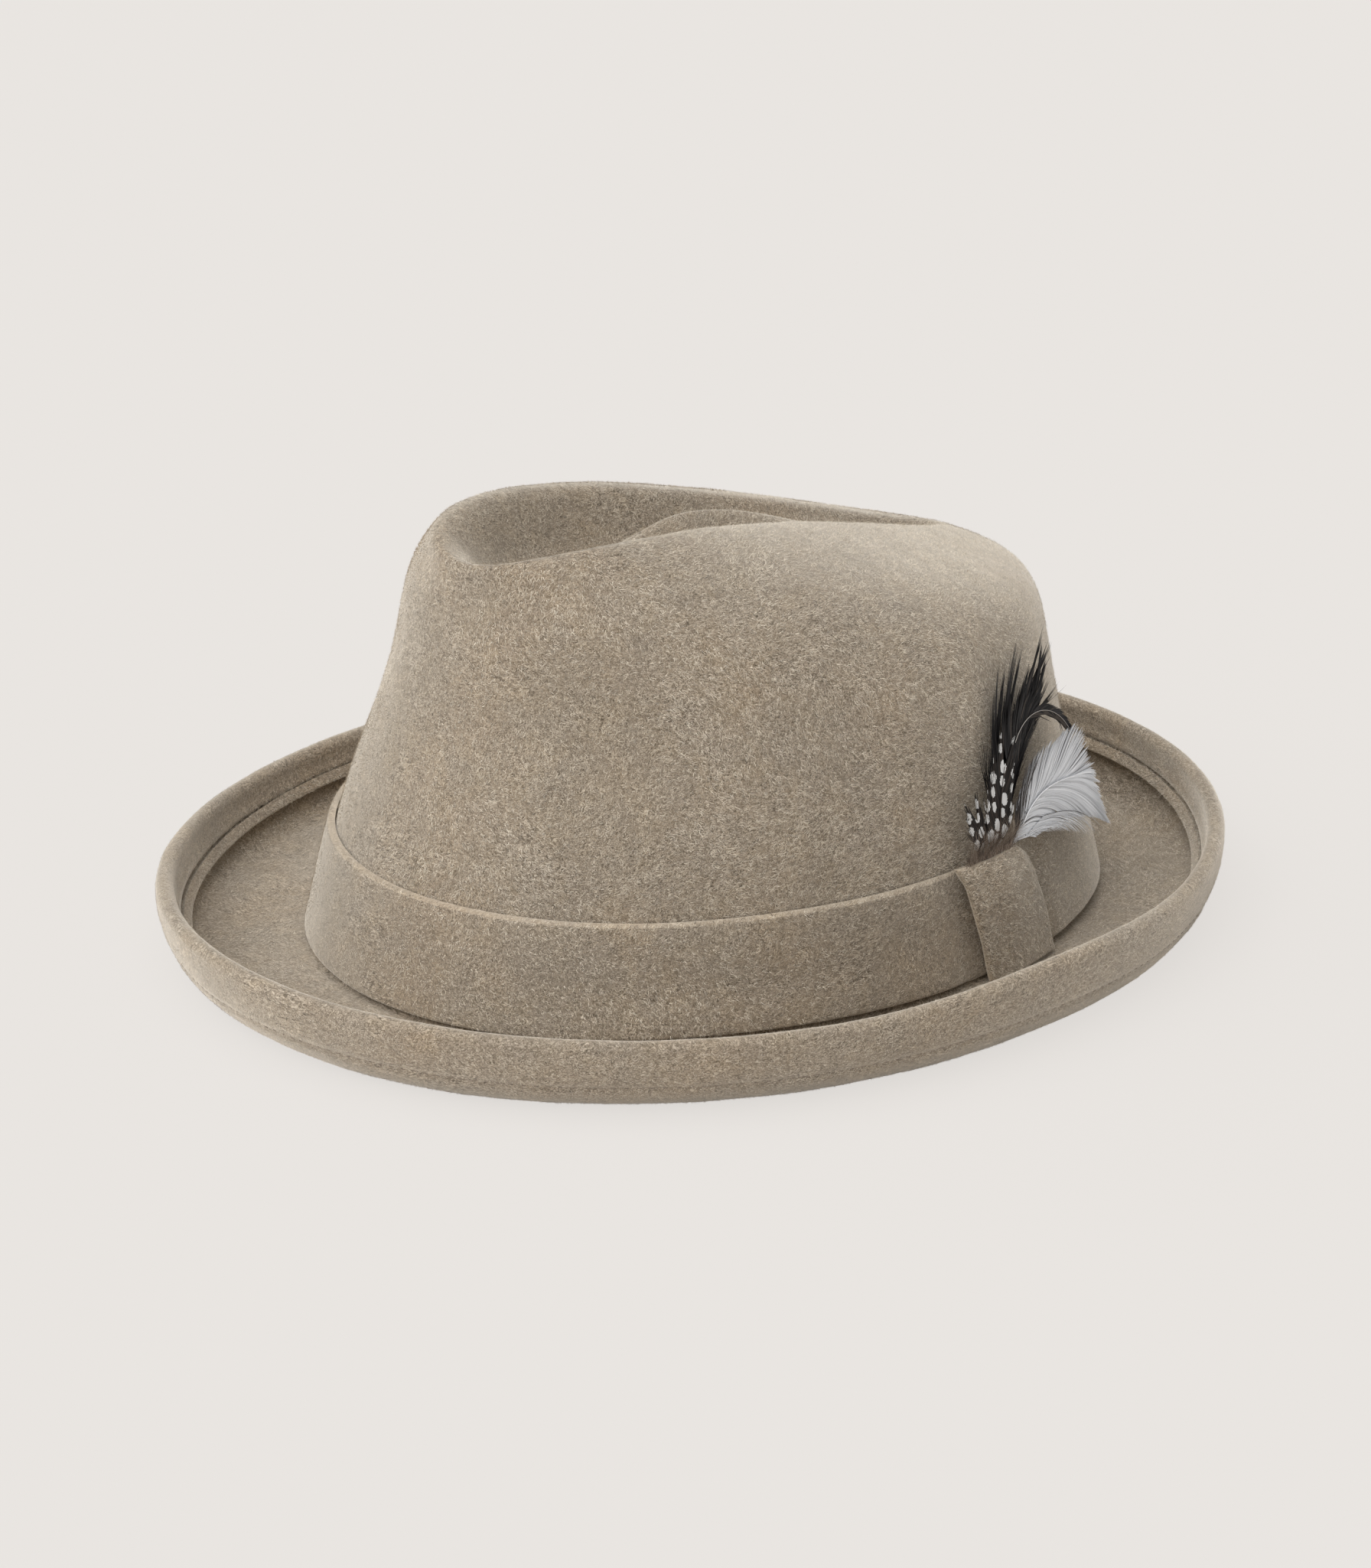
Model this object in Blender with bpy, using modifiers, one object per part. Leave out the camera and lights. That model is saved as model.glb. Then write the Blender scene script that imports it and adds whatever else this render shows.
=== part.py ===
"""Fedora hat: blocked felt body with a curled, folded-over brim edge, a felt band with a
keeper loop and a tuft of feathers, and the usual inside fittings (leather sweatband with its
reed and tape, satin lining, rear bow).

Frame: metres, +Z up, front of the hat at -Y, wearer's left (the side with the feathers) at +X.
Origin: on the plane the hat rests on, under the middle of its rim. The shapes below are drawn
from the centre of the head oval, level with the top face of the brim, and the empty hat_frame
carries them to the origin.

Sizes are in millimetres. Angles round the hat start at the front (0) and grow towards the
wearer's left (90 degrees). LONG and WIDE sizes are half lengths and half widths.
"""
import math

import bmesh
import bpy
import numpy as np
from mathutils import Matrix, Vector

MM = 0.001

# ---------------------------------------------------------------- driving dimensions
FELT = 2.0             # felt thickness
SEGMENTS = 48          # divisions round the hat
OVAL_POWER = 2.05      # head oval, slightly squarer than an ellipse
GAP = 0.3              # clearance between pieces that lie on one another

HEAD_LONG, HEAD_WIDE = 103.6, 85.2   # crown skin at the base
BAND_LEVEL = 1.4       # lower edge of the band above the brim
BAND_TALL = 27.0
BAND_TOP = BAND_LEVEL + BAND_TALL
BAND_TAPER = 5.8       # how much the crown draws in over the band's height, per side
BAND_THICK = 2.0
BAND_LEAN_Y = 0.6      # how far the crown's oval moves back over the band's height

# control rings of the crown: height above the band's lower edge, share of taper and lean
BAND_RINGS = ((0, 0), (10, 0.35), (28, 1))
MID_LEVEL, MID_LONG, MID_WIDE, MID_Y = 61.0, 88.0, 73.2, 2.8
SHOULDER_LONG, SHOULDER_WIDE, SHOULDER_Y, SHOULDER_DROP = 86.0, 66.4, 6.4, 14.5
CREST_BLEND = 0.48     # ring between shoulder and crest: share taken from the crest's outline
CREST_OUTER_DROP = 5.2
CREST_LIFT = 1.1

# teardrop crease in the top: its outline, and the crest's height at stations from the front
TEAR_WIDE, TEAR_LONG, TEAR_Y, TEAR_POINT = 17.7, 78.0, 1.8, 0.8
CREST_AT = (-80.0, -30.0, 25.0, 85.0)
CREST_HEIGHTS = (106.6, 108.0, 97.6, 84.5)
FRONT_NOTCH, NOTCH_SPREAD = 5.0, math.radians(26)
# rings on the crest: share of width, share of length, share of notch, lift
CREST_RINGS = ((1.12, 1.03, 0.8, CREST_LIFT), (0.92, 0.93, 1.0, -2.0))
# rings down in the crease: share of width, share of length, share of notch, share of depth
CREASE_RINGS = (
    (0.70, 0.84, 0.6, 0.75),
    (0.42, 0.70, 0.3, 1.0),
    (0.16, 0.50, 0.0, 1.0),
    (0.02, 0.34, 0.0, 1.0),
)
CREASE_DEPTH, CREASE_BACK_SHARE = 19.5, 0.24
CREASE_FADE_FROM, CREASE_FADE_RUN = -12.0, 60.0   # along Y, where the crease turns shallow
DOME_HIGH, DOME_Y, DOME_LONG, DOME_WIDE = 13.6, 8.6, 28.0, 14.0
# finger dents; angle and spread in degrees
PINCH_DEEP, PINCH_ANGLE, PINCH_SPREAD, PINCH_LEVEL, PINCH_TALL = 2.5, 38.0, 18.0, 67.4, 20.0

BEND = 2.0             # radius where the crown turns into the brim
RIM_LONG, RIM_WIDE, RIM_Y = 138.5, 120.6, -3.1
# rim height, and what is added to it at the front and at front and back (taken off the sides)
RIM_TOP, RIM_TOP_FRONT, RIM_TOP_SIDES = 17.5, -1.2, 1.0
CURL = 11.4            # horizontal radius of the curl
FOLD_GAP = 0.4         # air inside the folded edge
WELT = 14.0            # width of the folded-over edge
WELT_STITCH = 4.5      # stitch line to the raw edge

SLOPE = math.radians(11.5)   # lean of the crown wall

# ---------------------------------------------------------------- scene and materials
for old in list(bpy.data.objects):
    bpy.data.objects.remove(old, do_unlink=True)

HAT = bpy.data.collections.new("fedora_hat")
bpy.context.scene.collection.children.link(HAT)

hat_frame = bpy.data.objects.new("hat_frame", None)
hat_frame.location = (0, -RIM_Y * MM, FELT * MM)
HAT.objects.link(hat_frame)


def material(name, colour, roughness):
    made = bpy.data.materials.new(name)
    made.use_nodes = True
    shader = made.node_tree.nodes["Principled BSDF"]
    shader.inputs["Base Color"].default_value = (*colour, 1.0)
    shader.inputs["Roughness"].default_value = roughness
    return made


FELT_TAUPE = material("felt_taupe", colour=(0.36, 0.30, 0.24), roughness=0.95)
FELT_BAND = material("felt_band", colour=(0.31, 0.26, 0.205), roughness=0.95)
THREAD = material("thread_taupe", colour=(0.26, 0.21, 0.165), roughness=0.8)
LEATHER = material("leather_tan", colour=(0.23, 0.12, 0.06), roughness=0.5)
CLOTH = material("cloth_brown", colour=(0.10, 0.07, 0.05), roughness=0.8)
SATIN = material("satin_champagne", colour=(0.42, 0.34, 0.25), roughness=0.35)
REED_PLASTIC = material("reed_plastic", colour=(0.75, 0.72, 0.66), roughness=0.4)
CLEAR = material("clear_film", colour=(0.85, 0.85, 0.85), roughness=0.15)
PAPER = material("paper_white", colour=(0.8, 0.78, 0.72), roughness=0.7)
FEATHER_BLACK = material("feather_black", colour=(0.012, 0.011, 0.011), roughness=0.55)
FEATHER_SPOT = material("feather_guinea", colour=(0.05, 0.035, 0.03), roughness=0.6)
FEATHER_WHITE = material("feather_white", colour=(0.72, 0.72, 0.74), roughness=0.6)
FEATHER_DOWN = material("feather_down", colour=(0.13, 0.09, 0.07), roughness=0.8)


# ---------------------------------------------------------------- crown surface
def angles(count=SEGMENTS):
    """Even divisions round the hat, starting at the back."""
    return np.linspace(-math.pi, math.pi, count, endpoint=False)


def oval_unit(angle):
    """Unit superellipse: x and y at each angle."""
    sine, cosine = np.sin(angle), np.cos(angle)
    power = 2 / OVAL_POWER
    return np.sign(sine) * np.abs(sine) ** power, -np.sign(cosine) * np.abs(cosine) ** power


def ring_of(x, y, z):
    """One row x, y, z for each angle; any of the three may be a single number."""
    return np.column_stack(np.broadcast_arrays(x, y, z))


def oval_ring(angle, long, wide, y, z):
    unit_x, unit_y = oval_unit(angle)
    return ring_of(wide * unit_x, y + long * unit_y, z)


def smooth_step(x):
    x = np.clip(x, 0, 1)
    return x * x * (3 - 2 * x)


def b_spline(control, at):
    """Clamped cubic B-spline through the first and last control rings."""
    count, degree = len(control), 3
    knots = np.concatenate([[0] * degree, np.linspace(0, 1, count - degree + 1), [1] * degree])
    at = np.clip(at, 0, 1 - 1e-9)
    basis = [((low <= at) & (at < high)).astype(float) for low, high in zip(knots, knots[1:])]
    for d in range(1, degree + 1):
        raised = []
        for i in range(len(knots) - 1 - d):
            term = 0 * at
            rise, fall = knots[i + d] - knots[i], knots[i + d + 1] - knots[i + 1]
            if rise > 0:
                term = term + (at - knots[i]) / rise * basis[i]
            if fall > 0:
                term = term + (knots[i + d + 1] - at) / fall * basis[i + 1]
            raised.append(term)
        basis = raised
    return np.tensordot(np.stack(basis, 0).T, control, axes=(1, 0))


def crest_height(y):
    """Height of the crown's crest along the hat: a cubic through four design heights."""
    total = 0
    for i, height in enumerate(CREST_HEIGHTS):
        share = 1
        for j, station in enumerate(CREST_AT):
            if j != i:
                share = share * (y - station) / (CREST_AT[i] - station)
        total = total + height * share
    return total


def tear_ring(angle, wide_share, long_share, notch_share, lift):
    """The teardrop outline, scaled, at the crest's height plus lift."""
    x = TEAR_WIDE * wide_share * np.sin(angle) * np.exp(TEAR_POINT * np.cos(angle))
    y = TEAR_Y - TEAR_LONG * long_share * np.cos(angle)
    notch = FRONT_NOTCH * np.exp(-((angle / NOTCH_SPREAD) ** 2))
    return ring_of(x, y, crest_height(y) + lift - notch * notch_share)


def crease_ring(angle, wide_share, long_share, notch_share, depth_share):
    """A ring down in the crease, shallower at the back and raised over the dome."""
    ring = tear_ring(angle, wide_share, long_share, notch_share, 0)
    x, y = ring[:, 0], ring[:, 1]
    fade = 1 - (1 - CREASE_BACK_SHARE) * smooth_step((y - CREASE_FADE_FROM) / CREASE_FADE_RUN)
    dome = np.exp(-((x / DOME_WIDE) ** 2) - ((y - DOME_Y) / DOME_LONG) ** 2)
    ring[:, 2] += DOME_HIGH * dome * (1 - wide_share ** 2) - CREASE_DEPTH * depth_share * fade
    return ring


def crown_rings(angle):
    """Control rings of the crown's skin, from the band level up and into the crease."""
    rings = [oval_ring(angle, HEAD_LONG - share * BAND_TAPER, HEAD_WIDE - share * BAND_TAPER,
                       share * BAND_LEAN_Y, BAND_LEVEL + height)
             for height, share in BAND_RINGS]
    rings.append(oval_ring(angle, MID_LONG, MID_WIDE, MID_Y, MID_LEVEL))

    shoulder_crest = crest_height(SHOULDER_Y + SHOULDER_LONG * oval_unit(angle)[1])
    shoulder = oval_ring(angle, SHOULDER_LONG, SHOULDER_WIDE, SHOULDER_Y,
                         shoulder_crest - SHOULDER_DROP)
    crest = tear_ring(angle, 1, 1, 1, 0)
    x, y = ((1 - CREST_BLEND) * shoulder[:, :2] + CREST_BLEND * crest[:, :2]).T
    rings += [shoulder, ring_of(x, y, crest_height(y) - CREST_OUTER_DROP)]

    rings += [tear_ring(angle, *shares) for shares in CREST_RINGS]
    rings += [crease_ring(angle, *shares) for shares in CREASE_RINGS]
    return np.stack(rings, 0)


def pinched(points):
    """The two shallow finger dents at the front of the crown."""
    angle = np.degrees(np.arctan2(points[..., 0], -points[..., 1]))
    out = points * (1, 1, 0)
    out /= np.maximum(np.linalg.norm(out, axis=-1, keepdims=True), 1e-6)
    dents = sum(PINCH_DEEP * np.exp(-(((angle * side - PINCH_ANGLE) / PINCH_SPREAD) ** 2)
                                    - ((points[..., 2] - PINCH_LEVEL) / PINCH_TALL) ** 2)
                for side in (1, -1))
    return points - out * dents[..., None]


def crown_skin(at, angle):
    """Rings on the crown's outer face; at runs from 0 at the base to 1 in the crease."""
    return pinched(b_spline(crown_rings(angle), at))


def wall_section(level, angle, outward=0.0):
    """The crown skin's outline (x, y) at a level, one point for each angle, moved outwards."""
    columns = np.swapaxes(crown_skin(np.linspace(0, 0.55, 90), angle), 0, 1)
    level = max(level, BAND_LEVEL)
    flat = np.array([[np.interp(level, column[:, 2], column[:, axis]) for axis in (0, 1)]
                     for column in columns])
    unit_x, unit_y = oval_unit(angle)
    normal = np.column_stack([unit_x / HEAD_WIDE, unit_y / HEAD_LONG])
    normal /= np.linalg.norm(normal, axis=1, keepdims=True)
    return flat + outward * normal


def wall_ring(level, angle, outward):
    return np.column_stack([wall_section(level, angle, outward), np.full(len(angle), level)])


def inner_ring(level, inset, angle=None):
    """A ring inset from the crown's inner face."""
    return wall_ring(level, angles() if angle is None else angle, -FELT - inset)


def wall_oval(level):
    """Half length, half width and centre of the crown skin at a level."""
    front, left, back = wall_section(level, np.array([0.0, math.pi / 2, math.pi]))
    return (back[1] - front[1]) / 2, left[0], (back[1] + front[1]) / 2


# ---------------------------------------------------------------- brim surface
def fold_level(angle):
    """Height of the middle of the fold, set so that the felt round it ends at the rim's top."""
    rim_top = RIM_TOP + RIM_TOP_FRONT * np.cos(angle) + RIM_TOP_SIDES * np.cos(2 * angle)
    return rim_top - FELT - FOLD_GAP / 2


def rim_ring(angle, out, z):
    return oval_ring(angle, RIM_LONG + out, RIM_WIDE + out, RIM_Y, z)


def curl_ring(angle, share, inset):
    """A ring on the curl, inset from its outer face; share is 0 at its start, 1 at the fold."""
    turn = share * math.pi / 2
    rise = fold_level(angle) + FELT
    slope_out, slope_z = CURL * math.cos(turn), rise * math.sin(turn)
    size = np.sqrt(slope_out ** 2 + slope_z ** 2)
    out = -CURL + CURL * math.sin(turn) - inset * slope_z / size
    z = -FELT + rise * (1 - math.cos(turn)) + inset * slope_out / size
    return rim_ring(angle, out, z)


def curl_share(down):
    """Share of the curl at a distance down from the fold; its mean arc is cut by 1 / 0.95."""
    return 1 - down / (0.5 * math.pi * 0.5 * (CURL + RIM_TOP)) * 0.95


# ---------------------------------------------------------------- building helpers
def add(name, data, look, parent=hat_frame):
    obj = bpy.data.objects.new(name, data)
    HAT.objects.link(obj)
    data.materials.append(look)
    obj.parent = parent
    if parent is not hat_frame:
        # shapes are drawn in the hat's frame, so cancel the parent's own offset
        obj.matrix_parent_inverse = parent.matrix_basis.inverted()
    return obj


def add_smooth(name, mesh, look, parent=hat_frame):
    obj = add(name, mesh, look, parent)
    mesh.shade_smooth()
    mesh.set_sharp_from_angle(angle=math.radians(50))
    return obj


def solidify(obj, thickness, offset):
    """Thickens a sheet: offset 1 along its normals, -1 against them, 0 to both sides."""
    shell = obj.modifiers.new("thickness", "SOLIDIFY")
    shell.thickness = thickness * MM
    shell.offset = offset
    shell.use_rim = True


def finished_mesh(name, bm):
    bmesh.ops.recalc_face_normals(bm, faces=bm.faces)
    mesh = bpy.data.meshes.new(name)
    bm.to_mesh(mesh)
    bm.free()
    return mesh


def mesh_from_rings(name, rings, closed_ring=True, close_first=False):
    """A loft between unlike rings; close_first fills a slit-shaped first ring."""
    bm = bmesh.new()
    rows = [[bm.verts.new(Vector(point) * MM) for point in ring] for ring in rings]
    count = len(rows[0])
    for row, following in zip(rows, rows[1:]):
        for i in range(count if closed_ring else count - 1):
            j = (i + 1) % count
            bm.faces.new((row[i], following[i], following[j], row[j]))
    if close_first:
        first = rows[0]
        for i in range(count // 2):
            corners = (first[i], first[i + 1], first[count - i - 1], first[(count - i) % count])
            bm.faces.new(list(dict.fromkeys(corners)))   # triangles at the slit's two ends
    return finished_mesh(name, bm)


def box_mesh(name, placed):
    """A unit cube whose corners are carried by placed to points in mm."""
    bm = bmesh.new()
    bmesh.ops.create_cube(bm, size=1.0)
    for vert in bm.verts:
        vert.co = placed(vert.co) * MM
    return finished_mesh(name, bm)


def face_out(mesh, lowest=-math.inf, highest=math.inf):
    """Makes most faces between two levels point away from the hat's middle axis."""
    total = sum(face.normal.x * face.center.x + face.normal.y * face.center.y
                for face in mesh.polygons if lowest * MM < face.center.z < highest * MM)
    if total < 0:
        mesh.flip_normals()


def wall_strip(name, outward, bottom, top, thickness, look, grow, span=None, count=SEGMENTS,
               levels=4, lean=0.0):
    """A strip along the crown wall, drawn outward of its skin.

    It thickens outwards (grow 1) or inwards (grow -1). It runs all the way round unless span
    gives its first and last angle; lean turns it by radians for each mm of height.
    """
    rings = []
    for level in np.linspace(bottom, top, levels):
        if span is None:
            angle = angles(count)
        else:
            shift = lean * (level - (top + bottom) / 2)
            angle = np.linspace(span[0] + shift, span[1] + shift, count)
        rings.append(wall_ring(level, angle, outward))
    mesh = mesh_from_rings(name, rings, closed_ring=span is None)
    face_out(mesh)
    solidify(add_smooth(name, mesh, look), thickness, offset=grow)


def poly_curve(name, dimensions, points, look):
    """A closed run of straight lines."""
    curve = bpy.data.curves.new(name, "CURVE")
    curve.dimensions = dimensions
    spline = curve.splines.new("POLY")
    spline.points.add(len(points) - 1)
    for target, point in zip(spline.points, points):
        target.co = (*(Vector(point) * MM), 1.0)
    spline.use_cyclic_u = True
    return add(name, curve, look)


def wire_loop(name, points, radius, look, roundness=0):
    """A thread or cord with a small round bevel."""
    curve = poly_curve(name, "3D", points, look).data
    curve.bevel_depth = radius * MM
    curve.bevel_resolution = roundness
    curve.use_fill_caps = True


def flat_shape(name, outline, half_thick, look, location):
    """A closed outline filled and given thickness to both sides."""
    obj = poly_curve(name, "2D", [(x, y, 0) for x, y in outline], look)
    obj.data.fill_mode = "BOTH"
    obj.data.extrude = half_thick * MM
    obj.location = Vector(location) * MM
    return obj


# ---------------------------------------------------------------- felt body
def felt_sheet():
    """The felt's worn-outside face in one run: crease, crown, bend, brim, curl, fold, flap."""
    angle = angles()
    # the crown stops short of its base ring, which sits at the top of the bend instead
    samples = np.concatenate([np.linspace(1, 0.42, 14), np.linspace(0.36, 0, 6)[:-1]])
    rings = list(crown_skin(samples, angle))
    rings.append(oval_ring(angle, HEAD_LONG, HEAD_WIDE, 0, BEND))
    for degrees in (25, 55, 90):
        turn = math.radians(degrees)
        out = BEND * (1 - math.cos(turn))
        rings.append(oval_ring(angle, HEAD_LONG + out, HEAD_WIDE + out, 0,
                               BEND * (1 - math.sin(turn))))
    rings.append(0.5 * rings[-1] + 0.5 * rim_ring(angle, -CURL, 0))
    for share in np.linspace(0, 1, 7):
        rings.append(curl_ring(angle, share, FELT))
    half = FOLD_GAP / 2
    for degrees in (36, 72, 108, 144, 180):
        turn = math.radians(degrees)
        rings.append(rim_ring(angle, -FELT - half + half * math.cos(turn),
                              fold_level(angle) + half * math.sin(turn)))
    for share in np.linspace(1, curl_share(WELT), 4)[1:]:
        rings.append(curl_ring(angle, share, FELT + FOLD_GAP))
    return rings


body_mesh = mesh_from_rings("felt_body", felt_sheet(), close_first=True)
face_out(body_mesh, lowest=10, highest=60)   # judged on the crown's wall alone
solidify(add_smooth("felt_body", body_mesh, FELT_TAUPE), FELT, offset=-1)

# stitching on the folded edge's visible face
WELT_THREAD, WELT_THREAD_CLEAR = 0.35, 0.35   # thread radius, and its clearance from the felt
wire_loop("welt_stitch_thread",
          curl_ring(angles(72), curl_share(WELT - WELT_STITCH),
                    2 * FELT + FOLD_GAP + WELT_THREAD_CLEAR + WELT_THREAD),
          WELT_THREAD, THREAD)

# ---------------------------------------------------------------- band and keeper
KEEPER_MID = math.radians(100.5)
KEEPER_WIDE, KEEPER_THICK = 27.0, 1.8
KEEPER_REACH = 100.0   # radius that turns the keeper's width into an angle
KEEPER_HALF = 0.5 * KEEPER_WIDE / KEEPER_REACH
KEEPER_BOTTOM, KEEPER_OVER = 0.8, 2.0   # lower edge, and height above the band
KEEPER_LEAN = -0.0022  # radians for each mm of height
KEEPER_POCKET = 2.2    # room between band and keeper, where the quills are tucked
BAND_GAP = math.radians(0.6)   # half the gap between the band's ends, behind the keeper

wall_strip("hat_band", GAP, BAND_LEVEL, BAND_TOP, BAND_THICK, FELT_BAND, grow=1,
           span=(KEEPER_MID + BAND_GAP - 2 * math.pi, KEEPER_MID - BAND_GAP),
           count=SEGMENTS + 13)
wall_strip("band_keeper", GAP + BAND_THICK + KEEPER_POCKET, KEEPER_BOTTOM,
           BAND_TOP + KEEPER_OVER, KEEPER_THICK, FELT_BAND, grow=1,
           span=(KEEPER_MID - KEEPER_HALF, KEEPER_MID + KEEPER_HALF),
           count=9, levels=5, lean=KEEPER_LEAN)

# ---------------------------------------------------------------- feathers
PULL_ANGLE = math.radians(102.0)
VANE_THICK, VANE_STATIONS, VANE_HALF_LEAST = 0.7, 12, 0.5
VANE_CAMBER = 0.012    # drop of a feather's edges, as a share of its width
POCKET_CLEAR = 0.45    # clearance of what lies in the keeper's pocket, to each side
POCKET_FILL = (POCKET_CLEAR, KEEPER_POCKET - POCKET_CLEAR)


def pull_frame():
    """Origin on the band's top edge, and the along (backwards), up-slope and outward ways."""
    long, wide, middle_y = wall_oval(BAND_TOP)
    long, wide = long + GAP + BAND_THICK, wide + GAP + BAND_THICK
    unit_x, unit_y = math.sin(PULL_ANGLE), -math.cos(PULL_ANGLE)
    flat = Vector((unit_x / wide, unit_y / long, 0)).normalized()
    along = Vector((-flat.y, flat.x, 0))
    up = -math.sin(SLOPE) * flat + math.cos(SLOPE) * Vector((0, 0, 1))
    out = math.cos(SLOPE) * flat + math.sin(SLOPE) * Vector((0, 0, 1))
    return Vector((wide * unit_x, long * unit_y + middle_y, BAND_TOP)), along, up, out


PULL_ORIGIN, ALONG, UP, OUT = pull_frame()
pull_axis = bpy.data.objects.new("feather_pull_axis", None)
pull_axis.location = PULL_ORIGIN * MM
HAT.objects.link(pull_axis)
pull_axis.parent = hat_frame


def on_slope(along, up, out):
    """A point given along the band, up the slope and outwards, from the pull origin."""
    return PULL_ORIGIN + float(along) * ALONG + float(up) * UP + float(out) * OUT


def bezier(points, at):
    start, pull, end = np.array(points, float)
    return (1 - at) ** 2 * start + 2 * at * (1 - at) * pull + at ** 2 * end


def vane(name, spine, width, layer, lift, look):
    """One feather as a cambered lens-shaped plate along a curved spine."""
    rows = []
    for at in np.linspace(0, 1, VANE_STATIONS):
        along, up = bezier(spine, at)
        run, rise = bezier(spine, min(at + 0.01, 1)) - bezier(spine, max(at - 0.01, 0))
        size = math.hypot(run, rise)
        half = max(0.5 * width * math.sin(math.pi * at ** 0.6) ** 0.7, VANE_HALF_LEAST)
        rows.append([on_slope(along + rise / size * half * side, up - run / size * half * side,
                              layer + lift * at * at - VANE_CAMBER * width * side * side)
                     for side in (-1, -0.5, 0, 0.5, 1)])
    mesh = mesh_from_rings(name, rows, closed_ring=False)
    solidify(add_smooth(name, mesh, look, pull_axis), VANE_THICK, offset=0)


# name, spine's three control points (along, up), width, distance out, lift of the tip, material
FEATHERS = (
    ("feather_black_long", ((0, 2.8), (6, 24), (17, 48)), 17, 0.6, 0.0, FEATHER_BLACK),
    ("feather_black_curl", ((3, 2.8), (12, 24), (27, 25)), 9, 2.0, 1.0, FEATHER_BLACK),
    ("feather_white", ((5, 3.5), (16, 17), (37, 6)), 18, 5.0, 0.8, FEATHER_WHITE),
    ("feather_guinea_a", ((-2, 3.0), (0, 14), (6, 27)), 13, 6.2, 0.4, FEATHER_SPOT),
    ("feather_guinea_b", ((-6, 3.0), (-8, 10), (-6, 17)), 10, 7.5, 0.3, FEATHER_SPOT),
    ("feather_brown_down", ((-3, 2.4), (-4, 5), (-4, 8)), 11, 8.6, 0.0, FEATHER_DOWN),
)
for feather in FEATHERS:
    vane(*feather)


def slab(name, along, up, out, bevel, parent):
    """A small rounded block of thread; each span is (low, high) in the pull frame."""
    def placed(corner):
        return on_slope(*(low + (share + 0.5) * (high - low)
                          for share, (low, high) in zip(corner, (along, up, out))))

    obj = add_smooth(name, box_mesh(name, placed), THREAD, parent)
    edge = obj.modifiers.new("edge", "BEVEL")
    edge.width = bevel * MM
    edge.segments = 2


slab("feather_quill_wrap", along=(-5.5, 5.5), up=(-17, 1.0), out=POCKET_FILL, bevel=0.35,
     parent=pull_axis)
# tack low down in the pocket behind the keeper
slab("keeper_tack", along=(-3.0, 3.0), up=(-23.5, -22.3), out=POCKET_FILL, bevel=0.3,
     parent=hat_frame)

# ---------------------------------------------------------------- sweatband
# insets are measured inwards from the crown's inner face
SWEAT_INSET, SWEAT_BOTTOM, SWEAT_TALL, SWEAT_THICK = 1.4, 0.5, 34.0, 1.0
SWEAT_SEAM = math.radians(0.7)   # half the gap between the leather's ends, at the back
TAPE_BOTTOM, TAPE_TOP, TAPE_THICK = -1.4, 7.0, 0.4
REED_RADIUS, REED_INSET, REED_LEVEL = 0.8, 1.9, -1.0
SWEAT_THREAD, SWEAT_STITCH_LEVEL = 0.3, 3.5   # thread radius and stitch level

wall_strip("sweatband_leather", -FELT - SWEAT_INSET, SWEAT_BOTTOM, SWEAT_BOTTOM + SWEAT_TALL,
           SWEAT_THICK, LEATHER, grow=-1, span=(-math.pi + SWEAT_SEAM, math.pi - SWEAT_SEAM),
           count=SEGMENTS + 1)
wall_strip("sweatband_tape", -FELT - GAP, TAPE_BOTTOM, TAPE_TOP, TAPE_THICK, CLOTH, grow=-1,
           levels=3)
wire_loop("sweatband_reed", inner_ring(REED_LEVEL, REED_INSET), REED_RADIUS, REED_PLASTIC,
          roundness=1)
wire_loop("sweatband_stitch_thread",
          inner_ring(SWEAT_STITCH_LEVEL, SWEAT_INSET + SWEAT_THICK + GAP + SWEAT_THREAD),
          SWEAT_THREAD, THREAD)

# flat ribbon bow inside the sweatband at the back, its top tipped backwards
BOW_LEVEL, BOW_INSET, BOW_STEPS, BOW_HALF_THICK = 12.0, 4.6, 40, 0.4
BOW_TIP = math.radians(11)


def bow_point(turn):
    """Outline of the bow: narrow at the knot, widening into a loop on each side."""
    sideways = abs(math.cos(turn))
    reach = 2.2 + 7.0 * sideways ** 1.3
    return reach * math.cos(turn) * 1.1, (1.6 + 2.6 * sideways) * math.sin(turn)


bow_long, _, bow_middle_y = wall_oval(BOW_LEVEL)
bow = flat_shape("sweatband_bow",
                 [bow_point(2 * math.pi * i / BOW_STEPS) for i in range(BOW_STEPS)],
                 BOW_HALF_THICK, CLOTH,
                 location=(0, bow_long + bow_middle_y - FELT - BOW_INSET, BOW_LEVEL))
bow.rotation_euler = (math.pi / 2 - BOW_TIP, 0, 0)

# blank size tab just inside the sweatband, off to the back right, leaning with the wall
TAB_ANGLE, TAB_LEVEL, TAB_INSET = math.radians(-155), 20.0, 3.4
TAB_WIDE, TAB_THICK, TAB_TALL = 9.0, 0.3, 11.0

tab_before, tab_middle, tab_after = (
    Vector(point) for point in inner_ring(TAB_LEVEL, TAB_INSET,
                                          TAB_ANGLE + np.array([-0.03, 0, 0.03])))
tab = add("size_tab", box_mesh("size_tab", lambda corner: Vector(
    (TAB_WIDE * corner.x, TAB_THICK * corner.y, TAB_TALL * corner.z))), PAPER)
tab.location = tab_middle * MM
heading = (tab_after - tab_before).normalized()
to_middle = Vector((-tab_middle.x, -tab_middle.y, 0)).normalized()
leaning = Vector((0, 0, 1)) * math.cos(SLOPE) + to_middle * math.sin(SLOPE)
facing = leaning.cross(heading).normalized()
tab.rotation_euler = Matrix((heading, facing, heading.cross(facing))).transposed().to_euler()

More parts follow.
